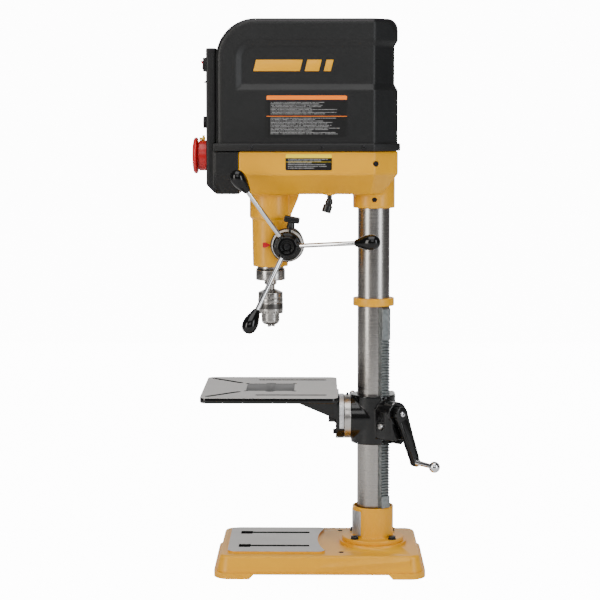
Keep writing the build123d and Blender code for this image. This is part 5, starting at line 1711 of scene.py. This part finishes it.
@dataclass
class Head:
    """Head casting, its set screws and the lamp under it."""

    cell: float = 2.5

    def build(self) -> None:
        """Build and dress every piece."""
        finish_piece("head_body", cast_copy("head_casting", self.cell, 5), GOLD, "frame",
                     ["head_casting"], sharp=60)
        dress("set_screws", OXIDE_AND_SHADE)
        low, high = node_box("lamp_socket")
        x, y = (low.x + high.x) / 2, (low.y + high.y) / 2
        stem = lathe([(0, 10), (5.6, 10), (5.6, 0), (5.0, -3), (3.2, -5)], 0.8, Axis.Z.value,
                    (x, y, low.z + 13.5), 32)
        ball = spun([(7 * math.sin(math.radians(a)),
                      -7 * math.cos(math.radians(a))) for a in range(0, 181, 10)],
                    Axis.Z.value, (x, y, low.z + 7), 32)
        finish_piece("lamp_stem", joined([stem, ball]), SATIN_BLACK, "frame",
                     ["lamp_socket"])
        lean = math.radians(17)
        way = Vector((0, -math.sin(lean), -math.cos(lean)))
        pod = lathe([(7.1, 0.5), (8.2, 0.5), (8.2, 6), (7.2, 7.5), (7.2, 9), (10, 10), (10, 24.5),
                                    (9.0, 26), (7.2, 26), (6.8, 24), (0, 24)], 0.5, toward(way),
                   Vector((x, y, low.z + 7)), 40)
        finish_piece("lamp_barrel", pod, SATIN_BLACK, "lamp", ["lamp_pod"])


@dataclass
class FrontPanel:
    """Front panel with the power rocker, readout, speed knob and stop switch."""

    face: float = -360.0
    speed_z: float = 973.0
    stop_z: float = 901.0

    def build(self) -> None:
        """Build and dress every piece."""
        finish_piece("panel_moulding", cast_copy("front_panel", 2.2, 3), COVER_PLASTIC, "frame",
                     ["front_panel"], sharp=60)
        eased_piece("rocker_frame", "rocker_bezel", 0.8, SATIN_BLACK, "frame")
        eased_piece("rocker_cap", "power_rocker", 0.8, RED, "rocker")
        eased_piece("readout_hood", "speed_readout", 0.3, GLOSS, "frame")
        self.build_speed_knob()
        self.build_stop()

    def build_speed_knob(self) -> None:
        """Fluted speed knob with a pale index line."""
        turn = Axis.MINUS_Y.value
        foot = Vector((0, self.face - 0.6, self.speed_z))
        skirt = lathe([(0, 0), (14.7, 0), (14.7, 2.4), (13, 3.0)], 0.4, turn, foot, 48)
        grip = fluted(13.0, 1.0, 18, 7.4, turn, foot + Vector((0, -3.0, 0)))
        stem = spun([(0, -14), (6, -14), (6, 0), (0, 0)], turn, foot, 32)
        finish_piece("speed_dial", joined([skirt, grip, stem]), GLOSS, "speed_knob",
                     ["speed_knob"])
        mark = rounded_box((-0.6, self.face - 11.3, self.speed_z + 3),
                           (0.6, self.face - 10.8, self.speed_z + 12), 0.2)
        finish_piece("speed_dial_mark", mark, ALUMINIUM, "speed_knob")

    def build_stop(self) -> None:
        """Stop switch: round body, domed red button and the pull key."""
        turn = Axis.MINUS_Y.value
        foot = Vector((0, self.face - 0.1, self.stop_z))
        body = lathe([(0, 0), (33, 0), (33, 19), (32, 20), (30.6, 20), (30.6, 12), (18.2, 12),
                                     (18.2, 4), (0, 4)], 0.6, turn,
                    foot, 72)
        finish_piece("stop_body_shell", body, RED, "frame", ["stop_switch_body"])
        disc = spun(rounded_profile([(0, -6), (29.9, -6), (29.9, 0), (37, 0), (39.5, 2.0), (39.5, 5.6),
                                     (37, 9.0),
                                     (27, 11.2), (12, 12.2), (0, 12.5)], 1.8, 4), turn,
                    foot + Vector((0, -22.4, 0)), 72)
        stem = spun([(0, 0), (18, 0), (18, -14.5), (0, -14.5)], turn, foot + Vector((0, -22.6, 0)), 48)
        finish_piece("stop_button_cap", joined([disc, stem]), RED, "stop_button",
                     ["stop_button"])
        eased_piece("stop_pull_key", "stop_key", 0.7, YELLOW, "stop_key")


@dataclass
class Feed:
    """Feed hub, rods, knobs, depth dial, its lock and the pointer."""

    y: float = -187.5
    z: float = 709.0
    boss_end: float = 44.0
    dial_width: float = 14.0
    dial_radius: float = 37.0
    disc_radius: float = 31.0
    nose_radius: float = 22.0
    hub_end: float = 105.0
    rod_radius: float = 5.0
    rods: int = 3
    first_angle: float = 4.4
    tip_radius: float = 196.5
    tip_x: float = 165.0
    root_radius: float = 14.0
    root_x: float = 93.0
    grip_length: float = 55.5
    grip_radius: float = 16.6

    def ends(self, index: int) -> tuple[Vector, Vector]:
        """Inner and outer end of a rod with its knob.

        Args:
            index: the rod's number.

        Returns:
            The two points.
        """
        a = math.radians(self.first_angle + 360 / self.rods * index)
        spread = Vector((0, math.cos(a), math.sin(a)))
        centre = Vector((0, self.y, self.z))
        return (centre + spread * self.root_radius + Vector((self.root_x, 0, 0)),
                centre + spread * self.tip_radius + Vector((self.tip_x, 0, 0)))

    def build(self) -> None:
        """Build and dress every piece."""
        self.build_rods()
        self.build_hub()
        self.build_dial()
        dress("feed_shaft", TURNED_X)
        dress("feed_bush", TURNED_X)
        dress("return_spring", ZINC)
        low, high = node_box("spring_can")
        deep = high.x - low.x
        can = [(0, deep), (26, deep), (29, deep - 1), (33, deep - 2), (33, 0.5), (30, 0)]
        turned_piece("spring_cap", [(x, deep - z) for x, z in can], toward((1, 0, 0)),
                     (low.x, self.y, self.z), BLACK,
                     "frame", ["spring_can"], radius=1.5, steps=72)

    def build_rods(self) -> None:
        """Chrome rods and teardrop knobs."""
        rods, knobs = [], []
        for index in range(self.rods):
            root, tip = self.ends(index)
            way = (tip - root).normalized()
            length = (tip - root).length
            rods.append(lathe([(0, 0.5), (self.rod_radius, 0.5), (self.rod_radius, length - 22),
                                              (0, length - 22)], 0.6, toward(way), root, 36))
            tail = -self.grip_length
            profile = [(5.1, tail + 18), (5.1, tail + 0.6), (6.4, tail), (7.8, tail + 0.8)]
            count = 22
            for step in range(1, count + 1):
                t = step / count
                radius = 7.8 + (self.grip_radius - 7.8) * math.sin(min(1.0, t / 0.62) * math.pi / 2) ** 1.25
                if t > 0.62:
                    radius = self.grip_radius * math.sqrt(max(0.0, 1 - ((t - 0.62) / 0.38) ** 2.2))
                profile.append((radius, (tail + 0.8) * (1 - t)))
            knobs.append(spun([(0.0, tail + 18)] + profile, toward(way), tip, 48))
        finish_piece("feed_rod_bars", joined(rods), CHROME, "feed", ["feed_rods"])
        finish_piece("feed_grips", joined(knobs), GLOSS, "feed", ["feed_knobs"], sharp=60)

    def build_hub(self) -> None:
        """Stepped hub with a recessed nose and its centre screw."""
        start = self.boss_end + 1 + self.dial_width + 12.4
        disc_end = self.hub_end - 16
        profile = [(10.1, 46), (15.9, 46), (15.9, start), (self.disc_radius, start),
                   (self.disc_radius, disc_end - 4),
                   (self.disc_radius - 4, disc_end), (self.nose_radius + 1, disc_end + 1),
                   (self.nose_radius, self.hub_end - 1.5), (self.nose_radius - 2, self.hub_end),
                    (13, self.hub_end),
                   (11.6, self.hub_end - 3), (0, self.hub_end - 3)]
        hub = lathe(profile, 1.3, Axis.X.value, (0, self.y, self.z), 80)
        sockets = []
        for index in range(self.rods):
            root, tip = self.ends(index)
            way = (tip - root).normalized()
            sockets.append(lathe([(5.2, 4), (8.4, 4), (8.4, 12.5), (7.2, 14.5), (5.2, 14.5)], 0.8,
                                toward(way), root, 36))
        finish_piece("feed_hub_body", joined([hub] + sockets), GLOSS, "feed", ["feed_hub"])
        screw = socket_head(6.2, 3.4, 3.1, Axis.X.value, (self.hub_end - 3.2, self.y, self.z))
        finish_piece("feed_hub_screw", screw, OXIDE_AND_SHADE, "feed")

    def build_dial(self) -> None:
        """Depth dial with its white band, knurled rim, lock knob and the red pointer."""
        low = self.boss_end + 1
        high = low + self.dial_width
        rim = fluted(self.dial_radius, 0.7, 72, 5.6, Axis.X.value, (low, self.y, self.z))
        body = lathe([(16.1, 0), (30, 0), (30, 4), (36, 5.4), (36.2, 7), (29, 13.6), (29, 26), (16.1, 26),
                                     (16.1, 0)], 0.8, Axis.X.value, (low, self.y, self.z), 72)
        lock_angle = math.radians(10)
        lock_way = Vector((0, math.sin(lock_angle), math.cos(lock_angle)))
        finish_piece("depth_dial_body", joined([rim, body]), SATIN_BLACK, "depth_dial",
                     ["depth_dial"])
        band = lathe([(29.4, 13.5), (33.8, 9.5), (34.2, 9.0)], 0.2, Axis.X.value,
                    (low + 0.25, self.y, self.z), 96)
        finish_piece("depth_dial_band", band, DialPrint("depth_graduations", self.y, self.z, 80, 34.4),
                     "depth_dial")
        centre = Vector((low + 22, self.y, self.z))
        frame_turn = toward(lock_way)
        stem = spun([(0, 18), (3, 18), (3, 39), (0, 39)], frame_turn, centre, 24)
        neck = lathe([(0, 38), (8.6, 38), (9, 40), (7.6, 50.5), (0, 50.5)], 0.8, frame_turn,
                    centre, 32)
        wing = rounded_box((-9, -17, 50), (9, 17, 64), 3.4, 4)
        for vert in wing.verts:
            vert.co.x *= 1.0 - 0.25 * math.exp(-(vert.co.y / 7.0) ** 2)
        bmesh.ops.transform(wing, matrix=Matrix.Translation(centre) @ frame_turn, verts=wing.verts)
        finish_piece("dial_lock_wing", joined([stem, neck, wing]), SATIN_BLACK, "dial_lock",
                     ["dial_lock_knob"])
        eased_piece("depth_pointer_flag", "depth_pointer", 0.4, RED, "frame")


@dataclass
class Quill:
    """Quill, spindle and keyed chuck."""

    y: float = -225.5
    nose_radius: float = 19.7
    teeth: int = 26
    tooth_root: float = 561.5
    tooth_tip: float = 556.2
    skirt_top: float = 563.2

    def upright(self, name: str, profile: Profile, finish, body: str,
                replaces: Sequence[str] = (), radius: float = 0.6, steps: int = 72) -> bpy.types.Object:
        """Turned piece on the spindle's axis, with heights above the floor.

        Args:
            name: the piece's name.
            profile: (radius, height) corners.
            finish: its finish.
            body: body that it rides on.
            replaces: CAD nodes that it stands for.
            radius: corner rounding.
            steps: divisions around.

        Returns:
            The object.
        """
        return turned_piece(name, profile, Axis.Z.value, (0, self.y, 0), finish, body, replaces, radius,
                            steps)

    def build(self) -> None:
        """Build and dress every piece."""
        dress("quill", TURNED_Z)
        dress("quill_bearings", TURNED_Z)
        low, high = node_box("quill_cap")
        cap = [(14.2, high.z), (30.4, high.z), (30.4, high.z - 3), (32, high.z - 4), (32, low.z + 1.5),
               (30.6, low.z), (16, low.z), (14.2, low.z + 2), (14.2, high.z)]
        self.upright("quill_nose_cap", cap, TURNED_Z, "quill", ["quill_cap"], 0.8, 96)
        groove = [(30.45, high.z - 0.2), (31.2, high.z - 0.2), (31.2, high.z - 2.6), (30.45, high.z - 2.6)]
        self.upright("quill_wiper", groove, SATIN_BLACK, "quill", (), 0.3, 96)
        bar = [(0, 589.2), (9.5, 589.2), (9.5, 618.5), (11.4, 619), (13.5, 621), (13.5, 654.2), (12, 655),
               (12, 1020), (10.5, 1022), (0, 1022)]
        self.upright("spindle_bar", bar, TURNED_Z, "spindle", ["spindle"], 0.5, 64)
        self.build_chuck()

    def build_chuck(self) -> None:
        """Chuck body, its geared sleeve, dark rings painted as the shade in the key holes, and three jaws.
        """
        body = [(9.6, 609), (13, 609), (15, 608), (26.2, 603), (27, 601.5), (27, 590.2), (26.4, 589.4),
                (19.7, 589.4),
                (19.7, 540), (18.4, 536), (14.0, 532), (6.2, 532), (5.6, 533), (5.6, 560)]
        self.upright("chuck_barrel", body, TURNED_Z, "spindle", ["chuck_body"], 0.7, 96)
        # Dark oxide rings at the key holes: painted shade standing in for the open holes.
        holes = []
        for angle in (30, 150, 270):
            a = math.radians(angle)
            way = Vector((math.cos(a), math.sin(a), 0))
            foot = Vector((0, self.y, 551)) + way * (self.nose_radius - 2.0)
            holes.append(spun([(0, 0.0), (3.0, 0.0), (3.0, 2.12), (3.5, 2.3)], toward(way), foot, 24))
        finish_piece("chuck_key_hole_shades", joined(holes), OXIDE_AND_SHADE, "spindle")
        bore = 19.9
        sleeve = [(24.7, 589), (27.2, 589), (27.5, 588.4), (27.5, 582), (26.7, 581.4), (26.7, 579.6),
                  (27.5, 579),
                  (27.5, 563.5), (27.0, 562.8)]
        shape = lathe(sleeve + [(bore, 562.8), (bore, 565), (24.7, 565), (24.7, 589)], 0.4, Axis.Z.value,
                      (0, self.y, 0), 96)
        skirt = self.geared_skirt()
        finish_piece("chuck_geared_sleeve", joined([shape, skirt]), TURNED_Z, "chuck_sleeve",
                     ["chuck_sleeve"])
        band = [(26.6, 567.2), (27.62, 567.2), (27.62, 578.4), (26.6, 578.4), (26.6, 567.2)]
        self.upright("chuck_sleeve_band", band, BLUED, "chuck_sleeve", (), 0.25, 96)
        for index in (1, 2, 3):
            node = f"chuck_jaw_{index}"
            finish_piece(f"chuck_jaw_bar_{index}", eased_copy(node, 0.5), TURNED_Z, f"jaw_{index}",
                         [node])

    def geared_skirt(self) -> Shape:
        """Foot of the sleeve, with bevel teeth that point down.

        Returns:
            The mesh.
        """
        skirt = bmesh.new()
        count = self.teeth * 4
        lows = [self.tooth_root if index % 4 in (1, 2) else self.tooth_tip for index in range(count)]

        def ring(radius: float, heights: Sequence[float]) -> list[bmesh.types.BMVert]:
            """Closed row of vertices around the spindle."""
            turns = (2 * math.pi * index / count for index in range(count))
            return [skirt.verts.new((radius * math.cos(a), self.y + radius * math.sin(a), z))
                    for a, z in zip(turns, heights)]

        rings = [ring(27.3, [self.skirt_top] * count), ring(26.8, lows), ring(20.0, [z + 1.2 for z in lows]),
                 ring(20.0, [self.skirt_top] * count)]
        for first, second in zip(rings, rings[1:] + rings[:1]):
            bridge(skirt, first, second)
        return skirt


@dataclass
class Drive:
    """Motor, pulleys, belt and bearing under the cover."""

    finishes: dict = field(default_factory=lambda: {
        "motor": BLACK, "motor_plate": ZINC, "drive_belt": RUBBER, "pulley_bearing": TURNED_Z,
        "spindle_pulley": ALUMINIUM, "motor_pulley": ALUMINIUM})

    def build(self) -> None:
        """Dress the CAD nodes."""
        for node, finish in self.finishes.items():
            dress(node, finish)


@dataclass
class Labels:
    """Printed films on the cover and the head."""

    face: float = 119.1
    side_low: tuple[float, float] = (-230.0, 942.0)
    side_high: tuple[float, float] = (-61.0, 1029.0)
    head_low: tuple[float, float] = (-190.0, 872.0)
    head_high: tuple[float, float] = (-92.5, 906.0)

    def film(self, name: str, low: tuple[float, float], high: tuple[float, float], finish,
             replaces: Sequence[str] = ()) -> bpy.types.Object:
        """Thin rounded film on the faces at the part's right side.

        Args:
            name: the piece's name.
            low: lowest y and z.
            high: highest y and z.
            finish: its print.
            replaces: CAD nodes that it stands for.

        Returns:
            The object.
        """
        corner = 3.0
        outline = []
        for cy, cz, first in ((high[0], high[1], 0), (low[0], high[1], 90), (low[0], low[1], 180),
                              (high[0], low[1], 270)):
            sy = -1 if cy == high[0] else 1
            sz = -1 if cz == high[1] else 1
            for step in range(5):
                a = math.radians(first + 90 * step / 4)
                outline.append((cy + sy * corner + corner * math.cos(a),
                                cz + sz * corner + corner * math.sin(a)))
        film = prism(outline, 0.5, SIDE_PLANE, (self.face, 0, 0))
        return finish_piece(name, film, finish, "frame", replaces)

    def build(self) -> None:
        """Build both films."""
        orange, yellow = (1.0, 0.21, 0.004), (1.0, 0.72, 0.0)
        self.film("cover_label", self.side_low, self.side_high,
                  LabelPrint("cover_label_print", self.side_low, self.side_high, orange, 0.10, 29, 0.5),
                  ["labels"])
        self.film("head_label", self.head_low, self.head_high,
                  LabelPrint("head_label_print", self.head_low, self.head_high, yellow, 0.24, 9, 0.52))


@dataclass
class Studio:
    """Pale floor, soft lights and the camera."""

    lens: float = 103.0
    distance: float = 3.74
    height: float = 0.9778
    side: float = -0.117
    yaw: float = 0.674
    pitch: float = 4.75
    shift: float = -0.0623
    backdrop_glow: float = 13.0
    room_glow: float = 0.12

    def build(self) -> None:
        """Build the floor, lights and camera."""
        self.build_floor()
        self.build_lights()
        data = bpy.data.cameras.new("view")
        data.lens = self.lens
        data.sensor_width = 36.0
        data.shift_y = self.shift
        yaw, pitch = math.radians(self.yaw), math.radians(self.pitch)
        way = Vector((-math.cos(pitch) * math.cos(yaw), -math.cos(pitch) * math.sin(yaw), -math.sin(pitch)))
        bpy.context.scene.camera = self.put("view", data, (self.distance, self.side, self.height), way)

    def put(self, name: str, data: bpy.types.ID, place: Sequence[float], way: Vector) -> bpy.types.Object:
        """Put a camera or a light in the scene.

        Args:
            name: its name.
            data: the camera's or the light's data.
            place: where it stands, in metres.
            way: direction that it looks in.

        Returns:
            The object.
        """
        thing = bpy.data.objects.new(name, data)
        bpy.context.scene.collection.objects.link(thing)
        thing.location = place
        thing.rotation_mode = "QUATERNION"
        thing.rotation_quaternion = way.to_track_quat("-Z", "Y")
        return thing

    def build_floor(self) -> None:
        """Wide pale floor."""
        shape = bmesh.new()
        bmesh.ops.create_grid(shape, x_segments=8, y_segments=8, size=14.0)
        mesh = bpy.data.meshes.new("floor")
        shape.to_mesh(mesh)
        shape.free()
        floor = bpy.data.objects.new("floor", mesh)
        bpy.context.scene.collection.objects.link(floor)
        material, n, shader = start_material("pale_floor")
        haze = n.noise(2.0, 2.0)
        n.wire(shader, Base_Color=n.blend(n.times(haze, 0.2), (0.93, 0.93, 0.93), (0.9, 0.9, 0.9)))
        shader.inputs["Roughness"].default_value = 0.7
        shader.inputs["Emission Color"].default_value = (1.0, 1.0, 1.0, 1.0)
        seen = n.add("ShaderNodeLightPath").outputs["Is Camera Ray"]
        n.wire(shader, Emission_Strength=n.times(seen, self.backdrop_glow))
        mesh.materials.append(material)

    def build_lights(self) -> None:
        """World light and large soft lights."""
        world = bpy.data.worlds.new("studio")
        bpy.context.scene.world = world
        world.use_nodes = True
        back = world.node_tree.nodes["Background"]
        back.inputs[0].default_value = (1.0, 1.0, 1.0, 1.0)
        n = Nodes(world.node_tree)
        seen = n.add("ShaderNodeLightPath").outputs["Is Camera Ray"]
        glow = n.plus(n.times(seen, self.backdrop_glow - self.room_glow), self.room_glow)
        world.node_tree.links.new(glow, back.inputs[1])
        lights = (
            ("key", (2.1, -2.4, 1.35), (0.0, -0.1, 0.65), 0.9, 2.4, 58.0, (1.0, 0.97, 0.92)),
            ("fill", (2.1, 2.2, 1.3), (0.0, -0.1, 0.65), 0.9, 2.4, 50.0, (0.94, 0.97, 1.0)),
            ("backdrop", (-3.5, -0.1, 1.5), (0.0, -0.1, 0.9), 6.0, 4.0, 75.0, (1.0, 1.0, 1.0)),
            ("top", (0.9, -0.3, 3.3), (0.0, -0.1, 0.5), 2.4, 2.4, 60.0, (1.0, 1.0, 1.0)),
            ("front", (3.6, -0.2, 2.3), (0.0, -0.1, 0.7), 2.0, 1.2, 22.0, (1.0, 1.0, 1.0)),
        )
        for name, place, aim, wide, tall, power, colour in lights:
            data = bpy.data.lights.new(name, "AREA")
            data.shape = "RECTANGLE"
            data.size, data.size_y = wide, tall
            data.energy = power
            data.color = colour
            self.put(name, data, place, Vector(aim) - Vector(place)).visible_camera = False


def main() -> None:
    """Build the whole press."""
    logging.basicConfig(level=logging.INFO, format="%(name)s %(message)s")
    Effects.build()
    for part in (Studio(), Stand(), Bracket(), WorkTable(), Head(), BeltCover(), FrontPanel(), Feed(),
                 Quill(),
                 Drive(), Labels()):
        LOG.info("building %s", type(part).__name__)
        part.build()


if __name__ == "__main__":
    main()
